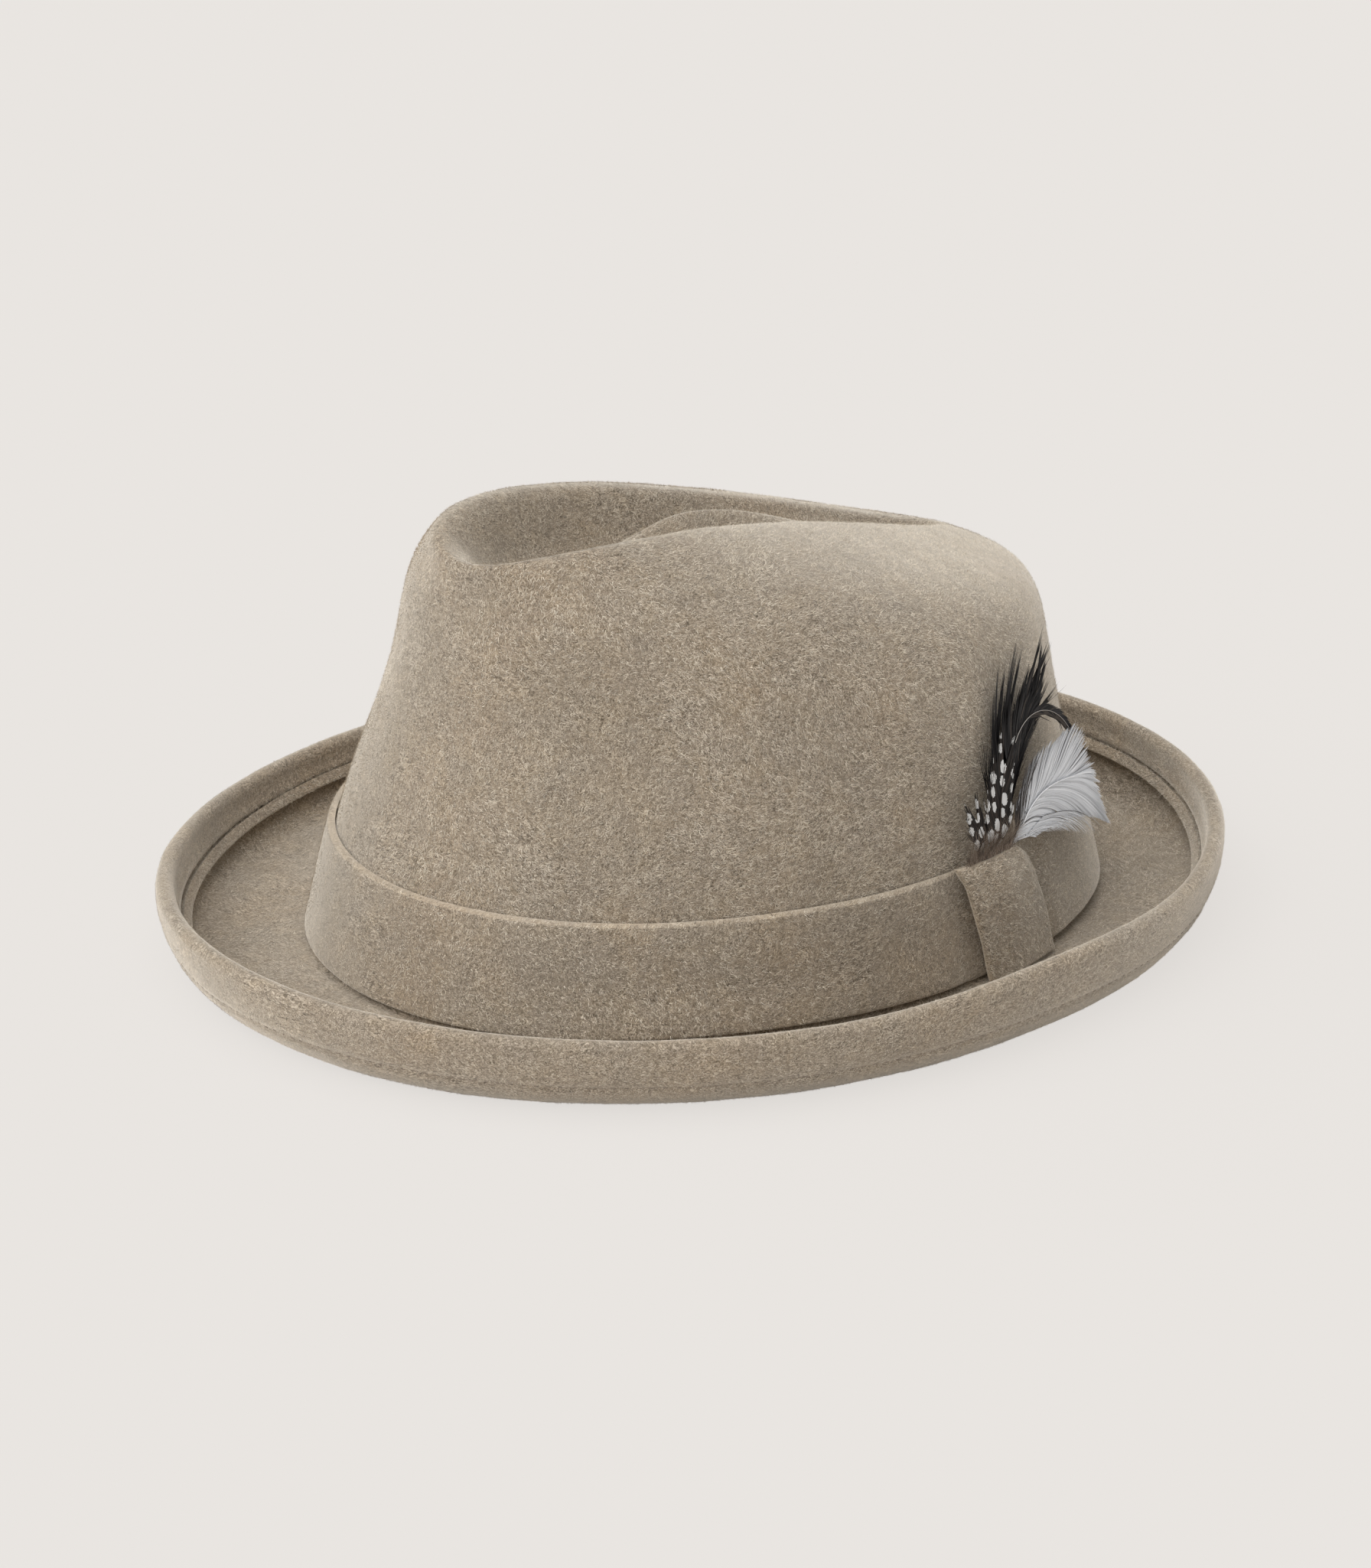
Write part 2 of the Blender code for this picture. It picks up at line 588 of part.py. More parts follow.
# ---------------------------------------------------------------- satin lining
LINING_TOP, LINING_THICK = 64.0, 0.5
SIDE_INSET, SIDE_BOTTOM, SIDE_SHORT = 1.3, 37.5, 1.6   # side wall; it ends short of the top
TIP_INSET, TIP_DROP, TIP_SAG = 3.4, 1.0, 2.2           # edge of the tip, and its sag inside
SLIT_WIDE, SLIT_LONG = 0.8, 24.0                       # innermost ring of the tip
PIPING_INSET, PIPING_RADIUS = 2.1, 0.6
PATCH_WIDE, PATCH_LONG, PATCH_POWER = 27.0, 36.0, 1.25
PATCH_STEPS, PATCH_HALF_THICK, PATCH_BELOW = 32, 0.15, 0.8
tip_y = wall_oval(LINING_TOP)[2]

wall_strip("lining_side", -FELT - SIDE_INSET, SIDE_BOTTOM, LINING_TOP - SIDE_SHORT,
           LINING_THICK, SATIN, grow=-1, levels=6)


def lining_tip():
    """The lining's top piece, sagging towards its middle."""
    edge = inner_ring(LINING_TOP, TIP_INSET)[:, :2]
    slit = np.column_stack([SLIT_WIDE * np.sin(angles()), tip_y - SLIT_LONG * np.cos(angles())])
    rings = []
    for share in (0.0, 0.3, 0.55, 0.8, 1.0):
        x, y = (slit * (1 - share) + edge * share).T
        rings.append(ring_of(x, y, LINING_TOP - TIP_DROP - TIP_SAG * (1 - share ** 2)))
    mesh = mesh_from_rings("lining_tip", rings, close_first=True)
    if mesh.polygons[len(mesh.polygons) // 2].normal.z < 0:
        mesh.flip_normals()
    solidify(add_smooth("lining_tip", mesh, SATIN), LINING_THICK, offset=1)


lining_tip()
wire_loop("lining_piping", inner_ring(LINING_TOP, PIPING_INSET), PIPING_RADIUS, SATIN)


def patch_point(turn):
    """Outline of the clear protector under the lining tip: a rounded rhombus."""
    cosine, sine = math.cos(turn), math.sin(turn)
    reach = (abs(cosine) ** PATCH_POWER + abs(sine) ** PATCH_POWER) ** (-1 / PATCH_POWER)
    return PATCH_WIDE * reach * cosine, PATCH_LONG * reach * sine


flat_shape("lining_tip_patch",
           [patch_point(2 * math.pi * i / PATCH_STEPS) for i in range(PATCH_STEPS)],
           PATCH_HALF_THICK, CLEAR,
           location=(0, tip_y, LINING_TOP - TIP_DROP - TIP_SAG - PATCH_BELOW))
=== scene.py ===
"""Looks of a felt fedora with a felt band, a keeper loop, a tuft of feathers and a lined inside.

Shapes are drawn in millimetres from the centre of the head oval, level with the top of the brim,
and carried into the frame by SHIFT. The front is -Y; the feathers are on the wearer's left, +X.
Angles round the hat start at the front and grow towards +X.
"""

import math

import bpy
import numpy as np
from mathutils import Matrix, Vector


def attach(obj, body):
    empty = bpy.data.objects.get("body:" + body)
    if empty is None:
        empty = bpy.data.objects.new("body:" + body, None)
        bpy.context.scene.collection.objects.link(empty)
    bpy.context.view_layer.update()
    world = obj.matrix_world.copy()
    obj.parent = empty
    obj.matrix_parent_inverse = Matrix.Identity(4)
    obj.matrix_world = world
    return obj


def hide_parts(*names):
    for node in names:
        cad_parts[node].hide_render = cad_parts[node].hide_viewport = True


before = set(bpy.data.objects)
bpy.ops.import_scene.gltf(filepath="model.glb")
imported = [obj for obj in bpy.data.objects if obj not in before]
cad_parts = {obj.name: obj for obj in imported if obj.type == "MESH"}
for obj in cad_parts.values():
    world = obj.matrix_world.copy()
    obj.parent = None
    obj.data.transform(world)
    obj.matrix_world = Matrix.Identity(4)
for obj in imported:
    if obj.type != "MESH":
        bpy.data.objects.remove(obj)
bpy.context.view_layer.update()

# ------------------------------------------------------------------ hat dimensions, mm
MM = 0.001
FELT = 2.0
RIM_Y = -3.1
SHIFT = np.array([0.0, -RIM_Y, FELT])
AROUND = 288        # columns round the felt body

# head oval: half length, half width, power of the superellipse
HEAD_LONG, HEAD_WIDE, OVAL_POWER = 103.6, 85.2, 2.05
BAND_LEVEL, BAND_TALL, BAND_TAPER, BAND_THICK, GAP, BAND_LEAN_Y = 1.4, 27.0, 5.8, 2.0, 0.3, 0.6
BAND_TOP = BAND_LEVEL + BAND_TALL
# ovals of the wall above the band: half length, half width, centre
MID_LEVEL, MID_LONG, MID_WIDE, MID_Y = 61.0, 88.0, 73.2, 2.8
SHOULDER_LONG, SHOULDER_WIDE, SHOULDER_Y, SHOULDER_DROP = 86.0, 66.4, 6.4, 14.5
CREST_OUTER_DROP, CREST_LIFT = 5.2, 1.1
# tear-shaped hollow in the top, pointed at the front
TEAR_WIDE, TEAR_LONG, TEAR_Y, TEAR_POINT = 17.7, 78.0, 1.8, 0.8
# side view of the crest: height at each y
CREST_AT = (-80.0, -30.0, 25.0, 85.0)
CREST_HEIGHTS = (107.4, 106.8, 95.2, 77.9)
REAR_LIFT, REAR_FILL, FORE_DROP, FORE_FILL, FORE_SHARE = 14.2, 4.4, 4.8, 1.5, 0.02
FRONT_NOTCH, NOTCH_SPREAD = 5.0, math.radians(26)
CREASE_DEPTH, CREASE_BACK_SHARE, CREASE_FADE_FROM, CREASE_FADE_LONG = 21.4, 0.34, -4.6, 60
# rings inside the hollow: width share, notch share, depth share, length share
HOLLOW_RINGS = ((0.70, 0.6, 0.75, 0.84), (0.42, 0.3, 1.0, 0.70),
                (0.16, 0.0, 1.0, 0.50), (0.02, 0.0, 1.0, 0.34))
DOME_HIGH, DOME_Y, DOME_LONG, DOME_WIDE = 19.5, -1.4, 37.5, 10.0
# dents at both sides of the front; angles in degrees
PINCH_DEEP, PINCH_ANGLE, PINCH_SPREAD, PINCH_LEVEL, PINCH_TALL = 2.5, 38.0, 18.0, 67.4, 20.0
BEND = 2.0          # radius where the crown meets the brim
RIM_LONG, RIM_WIDE = 138.5, 120.6
RIM_TOP, RIM_TOP_FRONT, RIM_TOP_SIDES, RIM_NEAR_RISE = 17.5, -1.2, 1.0, 2.4
CURL, FOLD_GAP, WELT, WELT_STITCH = 11.4, 0.4, 14.0, 4.5
CURL_ARC = 0.5 * math.pi * 0.5 * (CURL + RIM_TOP)
ARC_SHARE = 0.95
GROOVE_AT = WELT - WELT_STITCH
KEEPER_MID, KEEPER_WIDE = math.radians(100.5), 27.0
KEEPER_HALF = 0.5 * KEEPER_WIDE / 100.0     # half width as an angle


# ------------------------------------------------------------------ shape functions
def unit(vectors):
    return vectors / np.maximum(np.linalg.norm(vectors, axis=-1, keepdims=True), 1e-9)


def bell(x):
    return np.exp(-x ** 2)


def smooth_step(x):
    x = np.clip(x, 0, 1)
    return x * x * (3 - 2 * x)


def angles(count):
    return np.linspace(-math.pi, math.pi, count, endpoint=False)


def oval_unit(angle):
    """x and y on the head's superellipse of half length and half width one."""
    sine, cosine, power = np.sin(angle), np.cos(angle), 2 / OVAL_POWER
    return np.sign(sine) * np.abs(sine) ** power, -np.sign(cosine) * np.abs(cosine) ** power


def b_spline(control, at):
    """Clamped cubic through the leading axis of control, at shares 0..1."""
    count, degree = len(control), 3
    inner = np.linspace(0, 1, count - degree + 1)
    knots = np.concatenate([[0] * degree, inner, [1] * degree])
    at = np.clip(np.asarray(at, float), 0, 1 - 1e-9)
    basis = [((low <= at) & (at < high)).astype(float) for low, high in zip(knots, knots[1:])]
    for k in range(1, degree + 1):
        raised = []
        for i in range(len(knots) - 1 - k):
            term = 0 * at
            span, next_span = knots[i + k] - knots[i], knots[i + k + 1] - knots[i + 1]
            if span > 0:
                term = term + (at - knots[i]) / span * basis[i]
            if next_span > 0:
                term = term + (knots[i + k + 1] - at) / next_span * basis[i + 1]
            raised.append(term)
        basis = raised
    return np.tensordot(np.stack(basis[:count], 0).T, control, axes=(1, 0))


def crest_height(y):
    """The cubic through the crest's four points."""
    total = 0
    for i, height in enumerate(CREST_HEIGHTS):
        share = 1
        for j, other in enumerate(CREST_AT):
            if j != i:
                share = share * (y - other) / (CREST_AT[i] - other)
        total = total + height * share
    return total


def crown_rings(angle):
    """Control rings of the crown, from the brim up over the crest and down into the hollow."""
    unit_x, unit_y = oval_unit(angle)

    def oval(long, wide, y, z):
        return np.stack([wide * unit_x, y + long * unit_y, z + 0 * unit_x], -1)

    def tear(wide, long, notch_share, lift):
        x = TEAR_WIDE * wide * np.sin(angle) * np.exp(TEAR_POINT * np.cos(angle))
        y = TEAR_Y - TEAR_LONG * long * np.cos(angle)
        notch = FRONT_NOTCH * bell(angle / NOTCH_SPREAD)
        return np.stack([x, y, crest_height(y) + lift - notch * notch_share], -1)

    taper = 0.35 * BAND_TAPER
    rings = [
        oval(HEAD_LONG, HEAD_WIDE, 0, BAND_LEVEL),
        oval(HEAD_LONG - taper, HEAD_WIDE - taper, 0.35 * BAND_LEAN_Y, BAND_LEVEL + 10),
        oval(HEAD_LONG - BAND_TAPER, HEAD_WIDE - BAND_TAPER, BAND_LEAN_Y, BAND_LEVEL + 28),
        oval(MID_LONG, MID_WIDE, MID_Y, MID_LEVEL),
    ]
    level = crest_height(SHOULDER_Y + SHOULDER_LONG * unit_y)
    rear, fore = (0.5 - 0.5 * np.cos(angle)) ** 3, (0.5 + 0.5 * np.cos(angle)) ** 2
    narrowing = 1 - 0.013 * fore
    shoulder = (SHOULDER_LONG * narrowing, SHOULDER_WIDE * narrowing, SHOULDER_Y)
    rings.append(oval(*shoulder, level - SHOULDER_DROP + REAR_LIFT * rear - FORE_DROP * fore))
    share = (0.52 - FORE_SHARE * fore)[..., None]
    between = share * oval(*shoulder, level - 4) + (1 - share) * tear(1, 1, 1, 0)
    between[..., 2] = (crest_height(between[..., 1]) - CREST_OUTER_DROP
                       + REAR_FILL * rear - FORE_FILL * fore)
    rings += [between, tear(1.12, 1.03, 0.8, CREST_LIFT), tear(0.92, 0.93, 1.0, -2.0)]
    for wide, notch_share, depth, long in HOLLOW_RINGS:
        ring = tear(wide, long, notch_share, 0)
        y = ring[..., 1]
        back = smooth_step((y - CREASE_FADE_FROM) / CREASE_FADE_LONG)
        fade = 1 - (1 - CREASE_BACK_SHARE) * back
        dome = bell(ring[..., 0] / DOME_WIDE) * bell((y - DOME_Y) / DOME_LONG)
        ring[..., 2] += -CREASE_DEPTH * depth * fade + DOME_HIGH * dome * (1 - wide * wide)
        rings.append(ring)
    return np.stack(rings, 0)


def pinched(points):
    angle = np.degrees(np.arctan2(points[..., 0], -points[..., 1]))
    outward = unit(points * [1, 1, 0])
    high = bell((points[..., 2] - PINCH_LEVEL) / PINCH_TALL)
    for side in (1, -1):
        dent = PINCH_DEEP * bell((angle * side - PINCH_ANGLE) / PINCH_SPREAD) * high
        points = points - outward * dent[..., None]
    return points


def crown_skin(at, angle):
    return pinched(b_spline(crown_rings(angle), at))


def wall_section(level, angle, outward=0.0):
    """The crown's outline at a level, moved outwards; level and outward may be per angle."""
    columns = crown_skin(np.linspace(0, 0.55, 140), angle)
    level = np.maximum(np.broadcast_to(level, angle.shape), BAND_LEVEL)
    outward = np.broadcast_to(outward, angle.shape)
    normals = unit(np.stack(oval_unit(angle), -1) / (HEAD_WIDE, HEAD_LONG))
    flat = [[np.interp(height, column[:, 2], column[:, axis]) for axis in (0, 1)]
            for height, column in zip(level, columns.swapaxes(0, 1))]
    return np.array(flat) + outward[:, None] * normals


def ring_at(level, angle, outward, z=None):
    flat = wall_section(level, angle, outward)
    z = np.broadcast_to(level if z is None else z, angle.shape)
    return np.column_stack([flat, z])


def rim_top(angle):
    beside_keeper = (np.degrees(angle) + 180) % 360 - 180 - 92
    return (RIM_TOP + RIM_TOP_FRONT * np.cos(angle) + RIM_TOP_SIDES * np.cos(2 * angle)
            + RIM_NEAR_RISE * bell(beside_keeper / 16))


# width of the turned edge, narrower round the back: angle in degrees, share of WELT
WELT_SHARES = (
    (0, 1), (90, 1), (130, 0.93), (143, 0.78), (152, 0.66), (162, 0.60), (176, 0.58),
    (212, 0.60), (276, 0.64), (290, 0.72), (303, 0.85), (316, 0.95), (335, 1), (360, 1))


def welt_share(angle):
    turn = np.degrees(angle) % 360
    at, share = zip(*WELT_SHARES)
    spread = np.linspace(-12, 12, 13)
    return np.mean([np.interp((turn + d) % 360, at, share) for d in spread], axis=0)


def curl_point(angle, share, inset):
    """How far out and how high the rim's upturn is; inset moves it off the outer face."""
    turn = share * math.pi / 2
    rise = rim_top(angle) - 0.2
    out, z = -CURL + CURL * np.sin(turn), -FELT + rise * (1 - np.cos(turn))
    slope_out, slope_z = CURL * np.cos(turn), rise * np.sin(turn)
    size = np.sqrt(slope_out ** 2 + slope_z ** 2)
    return out - inset * slope_z / size, z + inset * slope_out / size


def rim_ring(angle, out, z):
    unit_x, unit_y = oval_unit(angle)
    x, y = unit_x * (RIM_WIDE + out), unit_y * (RIM_LONG + out) + RIM_Y
    return np.stack([x, y, z + 0 * unit_x], -1)


# ------------------------------------------------------------------ noise
def hashed(i, j, k, seed):
    i, j, k = i.astype(np.uint64), j.astype(np.uint64), k.astype(np.uint64)
    mixed = (i * np.uint64(73856093)) ^ (j * np.uint64(19349663)) ^ (k * np.uint64(83492791))
    mixed = mixed ^ np.uint64(seed * 2654435761 % 2 ** 32)
    mixed = (mixed ^ (mixed >> np.uint64(13))) * np.uint64(1274126177)
    mixed = (mixed ^ (mixed >> np.uint64(16))) & np.uint64(0xFFFFFF)
    return mixed.astype(np.float64) / 0xFFFFFF


def noise(points, size, seed):
    """Smooth value noise in -1..1; size is the feature size in mm."""
    places = np.asarray(points, float).reshape(-1, 3) / size + 1000.0
    base = np.floor(places)
    part = places - base
    part = part * part * (3 - 2 * part)
    cell = base.astype(np.int64)
    total = 0
    for corner in np.ndindex(2, 2, 2):
        weight = 1.0
        for axis, far in enumerate(corner):
            weight = weight * (part[:, axis] if far else 1 - part[:, axis])
        total = total + weight * hashed(*(cell + corner).T, seed)
    return (2 * total - 1).reshape(np.asarray(points).shape[:-1])


def round_probe(radius, angle, z=0.0):
    """Points round a cylinder, at which noise for a strip is read."""
    return np.column_stack([radius * np.cos(angle), radius * np.sin(angle), 0 * angle + z])


# ------------------------------------------------------------------ mesh helpers
def piece(name, verts, faces, mats, slot, node=None, body="hat", slots=None, smooth=True,
          sharp=None):
    """slots holds a material index per face; edges beyond sharp degrees stay hard."""
    verts = (np.asarray(verts, float).reshape(-1, 3) + SHIFT) * MM
    faces = np.asarray(faces, np.int32)
    corners = faces.shape[1]
    mesh = bpy.data.meshes.new(name)
    mesh.vertices.add(len(verts))
    mesh.vertices.foreach_set("co", verts.astype(np.float32).ravel())
    mesh.loops.add(faces.size)
    mesh.loops.foreach_set("vertex_index", faces.ravel())
    mesh.polygons.add(len(faces))
    mesh.polygons.foreach_set("loop_start", np.arange(0, faces.size, corners, dtype=np.int32))
    mesh.polygons.foreach_set("loop_total", np.full(len(faces), corners, np.int32))
    if slots is not None:
        mesh.polygons.foreach_set("material_index", np.asarray(slots, np.int32))
    mesh.update(calc_edges=True)
    mesh.validate(verbose=False)
    if smooth:
        mesh.shade_smooth()
    obj = bpy.data.objects.new(name, mesh)
    bpy.context.scene.collection.objects.link(obj)
    for material in mats:
        mesh.materials.append(material)
    if sharp:
        mesh.set_sharp_from_angle(angle=math.radians(sharp))
    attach(obj, body)
    if node:
        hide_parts(node)


def grid_faces(rows, cols, closed, start=0, flip=False):
    i = np.arange(rows - 1)[:, None]
    j = np.arange(cols if closed else cols - 1)[None, :]
    after = (j + 1) % cols
    here, beside = i * cols + j, i * cols + after
    across, below = (i + 1) * cols + after, (i + 1) * cols + j
    quad = [here, beside, across, below] if flip else [here, below, across, beside]
    return np.stack(quad, -1).reshape(-1, 4) + start


def grid_normals(grid, closed):
    """Normals that point outwards where rows go up and columns run with the angle."""
    if closed:
        along = np.roll(grid, -1, 1) - np.roll(grid, 1, 1)
    else:
        along = np.gradient(grid, axis=1)
    return unit(np.cross(along, np.gradient(grid, axis=0)))


def slit_cap(count):
    """Quads that close a ring along a slit, where its two sides lie against each other."""
    pairs = [(i, i + 1, count - i, count - i + 1) for i in range(2, count // 2)]
    return np.array([(0, 1, 2, count - 1)] + pairs)


def join_parts(parts):
    """Concatenates (verts, faces) pairs of equal face size."""
    verts, faces, start = [], [], 0
    for points, quads in parts:
        verts.append(points)
        faces.append(quads + start)
        start += len(points)
    return np.concatenate(verts), np.concatenate(faces)


def tube(centre, ahead, upward, radius, sides, flat=1.0):
    """Rings of points round a line; ahead is its direction, flat squeezes the upright radius."""
    ahead = unit(ahead)
    across = unit(np.cross(ahead, upward))
    rise = np.cross(across, ahead)
    ring = np.linspace(0, 2 * math.pi, sides, endpoint=False)[None, :, None]
    return centre[:, None] + radius * (np.cos(ring) * across[:, None]
                                       + flat * np.sin(ring) * rise[:, None])


def thick_sheet(name, inner, outer, closed, mats, slot, node, edge_rows=0):
    """A strip between two grids (rows up, columns round).

    With edge_rows, that many last rows and all the edges take the second material."""
    rows, cols = inner.shape[:2]
    start = rows * cols
    verts = np.concatenate([inner.reshape(-1, 3), outer.reshape(-1, 3)])
    outer_faces = grid_faces(rows, cols, closed, start, flip=True)
    wide = cols if closed else cols - 1
    j = np.arange(wide)
    after = (j + 1) % cols
    top = (rows - 1) * cols
    faces = [grid_faces(rows, cols, closed), outer_faces,
             np.stack([j, after, start + after, start + j], -1),
             np.stack([top + j, start + top + j, start + top + after, top + after], -1)]
    if not closed:
        low = np.arange(rows - 1) * cols
        high = low + cols
        last = cols - 1
        faces.append(np.stack([low, start + low, start + high, high], -1))
        faces.append(np.stack([low, high, start + high, start + low], -1) + last)
    faces = np.concatenate(faces)
    sheet = len(outer_faces)
    slots = np.full(len(faces), int(edge_rows > 0))
    slots[:2 * sheet] = 0
    for end in (sheet, 2 * sheet):
        slots[end - wide * edge_rows:end] = 1
    # the outer face has to point away from the inner one
    first, second, third = (verts[outer_faces[:, k]] for k in range(3))
    away = first - verts[outer_faces[:, 0] - start]
    if (np.cross(second - first, third - first) * away).sum() < 0:
        faces = faces[:, ::-1]
    piece(name, verts, faces, mats, slot, node, slots=slots, sharp=55)


# ------------------------------------------------------------------ materials
SHEEN_TINT = (1.0, 0.93, 0.82, 1)
BLACK, WHITE = (0, 0, 0), (1, 1, 1)


class Surface:
    """A Principled material in the making; input names are written with underscores."""

    def __init__(self, name, textured=True, **inputs):
        self.material = bpy.data.materials.new(name)
        self.material.use_nodes = True
        self.tree = self.material.node_tree
        self.shader = self.tree.nodes["Principled BSDF"]
        self.fill(self.shader, **inputs)
        if textured:
            self.place = self.node("TexCoord").outputs["Object"]

    def put(self, socket, value):
        if isinstance(value, bpy.types.NodeSocket):
            self.tree.links.new(value, socket)
        else:
            socket.default_value = value

    def fill(self, node, **inputs):
        for key, value in inputs.items():
            self.put(node.inputs[key.replace("_", " ")], value)

    def node(self, kind, settings=(), **inputs):
        node = self.tree.nodes.new("ShaderNode" + kind)
        for key, value in dict(settings).items():
            setattr(node, key, value)
        self.fill(node, **inputs)
        return node

    def noise(self, scale, detail=3.0, rough=0.55, distortion=0.0, vector=None, output="Fac"):
        return self.node("TexNoise", Scale=scale, Detail=detail, Roughness=rough,
                         Distortion=distortion, Vector=vector or self.place).outputs[output]

    def mapped(self, scale, rotation=(0, 0, 0)):
        node = self.node("Mapping", Scale=scale, Rotation=rotation, Vector=self.place)
        return node.outputs["Vector"]

    def ramp(self, source, *stops):
        """A colour ramp from (position, colour) stops."""
        node = self.node("ValToRGB", Fac=source)
        elements = node.color_ramp.elements
        for element, (position, colour) in zip(elements, (stops[0], stops[-1])):
            element.position, element.color = position, (*colour, 1)
        for position, colour in stops[1:-1]:
            elements.new(position).color = (*colour, 1)
        return node.outputs["Color"]

    def mix(self, first, second, factor=1.0, blend="MULTIPLY"):
        node = self.node("Mix", {"data_type": "RGBA", "blend_type": blend})
        # 0, 6 and 7 are the factor and the two colours
        for index, value in ((0, factor), (6, first), (7, second)):
            self.put(node.inputs[index], value)
        return node.outputs[2]

    def math(self, operation, *values):
        node = self.node("Math", {"operation": operation})
        for index, value in enumerate(values):
            self.put(node.inputs[index], value)
        return node.outputs[0]

    def spread(self, source, **limits):
        return self.node("MapRange", Value=source, **limits).outputs["Result"]

    def finish(self, height=None, strength=0.5, distance=0.0, **inputs):
        """Links the last inputs and a bump, whose distance is in metres."""
        self.fill(self.shader, **inputs)
        if height:
            bump = self.node("Bump", Strength=strength, Distance=distance, Height=height)
            self.fill(self.shader, Normal=bump.outputs["Normal"])
        return self.material


def plain(name, colour, roughness, sheen=0.0, specular=0.3):
    made = Surface(name, textured=False, Base_Color=(*colour, 1), Roughness=roughness,
                   Specular_IOR_Level=specular)
    if sheen:
        return made.finish(Sheen_Weight=sheen, Sheen_Tint=SHEEN_TINT)
    return made.material


def palette(prefix, *rows):
    """Plain materials from rows of name, colour, roughness, sheen, specular."""
    return [plain(prefix + name, *look) for name, *look in rows]


def felt_material(name, dark, mid, light, sheen):
    """Brushed wool felt: cloudy tone, short streaks of lighter and darker fibre, fine bump."""
    felt = Surface(name, Roughness=0.95, Specular_IOR_Level=0.12, Sheen_Weight=sheen,
                   Sheen_Roughness=0.42, Sheen_Tint=SHEEN_TINT)
    clouds = felt.noise(scale=38, rough=0.5)
    patches = felt.noise(scale=130, detail=4, rough=0.6, distortion=0.6)
    # two lays of fibre that take turns over the surface
    one_way = felt.mapped(scale=(0.35, 1.0, 1.0), rotation=(0.5, 0.3, 0.75))
    fibres = felt.noise(scale=1500, detail=5, rough=0.72, distortion=1.6, vector=one_way,
                        output="Color")
    other_way = felt.mapped(scale=(1.0, 0.35, 1.0), rotation=(0.2, 0.6, 0.35))
    other_fibres = felt.noise(scale=1800, detail=4, rough=0.72, distortion=1.8,
                              vector=other_way, output="Color")
    swap = felt.ramp(felt.noise(scale=60, detail=2, rough=0.5), (0.4, BLACK), (0.6, WHITE))
    strands = felt.mix(fibres, other_fibres, factor=swap, blend="MIX")
    value = felt.node("RGBToBW", Color=strands).outputs["Val"]
    tone = felt.ramp(value, (0.40, dark), (0.5, mid), (0.60, light))
    warm = felt.ramp(clouds, (0.35, (0.96, 0.97, 0.985)), (0.5, WHITE),
                     (0.66, (1.03, 1.0, 0.965)))
    spots = felt.ramp(patches, (0.36, (0.95, 0.955, 0.97)), (0.5, WHITE),
                      (0.64, (1.04, 1.025, 0.99)))
    return felt.finish(value, strength=0.5, distance=0.00025,
                       Base_Color=felt.mix(felt.mix(tone, warm), spots))


def thread_material(name, dark, light):
    thread = Surface(name, Roughness=0.7)
    fibre = thread.noise(scale=1800, rough=0.6, distortion=1.0)
    return thread.finish(fibre, strength=0.5, distance=0.0001,
                         Base_Color=thread.ramp(fibre, (0.35, dark), (0.65, light)))


FELT_BODY = felt_material("felt_body_wool", dark=(0.085, 0.066, 0.046),
                          mid=(0.245, 0.198, 0.146), light=(0.52, 0.445, 0.35), sheen=1.0)
FELT_STRIP = felt_material("felt_band_wool", dark=(0.095, 0.074, 0.053),
                           mid=(0.25, 0.204, 0.152), light=(0.51, 0.435, 0.342), sheen=1.0)
# lighter felt on the top rows and cut edges of the band and keeper: a painted highlight along
# the edges
FELT_EDGE_HIGHLIGHT = felt_material("felt_cut_edge_highlight", dark=(0.22, 0.175, 0.13),
                          mid=(0.35, 0.288, 0.215), light=(0.52, 0.44, 0.345), sheen=0.8)
NAP = palette(
    "nap_",
    ("cream", (0.73, 0.65, 0.53), 0.75, 0.9),
    ("light", (0.55, 0.475, 0.372), 0.8, 0.9),
    ("mid", (0.345, 0.287, 0.217), 0.85, 0.9),
    ("warm", (0.285, 0.220, 0.150), 0.85, 0.9),
    ("grey", (0.36, 0.325, 0.272), 0.85, 0.9),
    ("dark", (0.080, 0.062, 0.044), 0.9, 0.6))
NAP_BAND = palette(
    "nap_band_",
    ("cream", (0.80, 0.715, 0.585), 0.75, 0.9),
    ("light", (0.565, 0.488, 0.384), 0.8, 0.9),
    ("mid", (0.355, 0.295, 0.225), 0.85, 0.9),
    ("warm", (0.292, 0.227, 0.156), 0.85, 0.9),
    ("grey", (0.37, 0.334, 0.28), 0.85, 0.9),
    ("dark", (0.080, 0.062, 0.044), 0.9, 0.6))


# ------------------------------------------------------------------ nap
# shares of the six nap materials, in palette order
MIXED_TONES = (0.19, 0.23, 0.17, 0.13, 0.10, 0.18)
# no dark fibres and mostly light ones: a painted highlight for the edges and the rim's top fold
EDGE_HIGHLIGHT_TONES = (0.24, 0.40, 0.22, 0.08, 0.06, 0.0)
DARK_TO_LIGHT = np.array([5, 3, 2, 4, 1, 0])
SWIRL = 34.0            # feature size of the grain's swirl
WILD_TURN = 38.0        # spread of single fibres about the grain, degrees
ROOT_INSET = 0.08


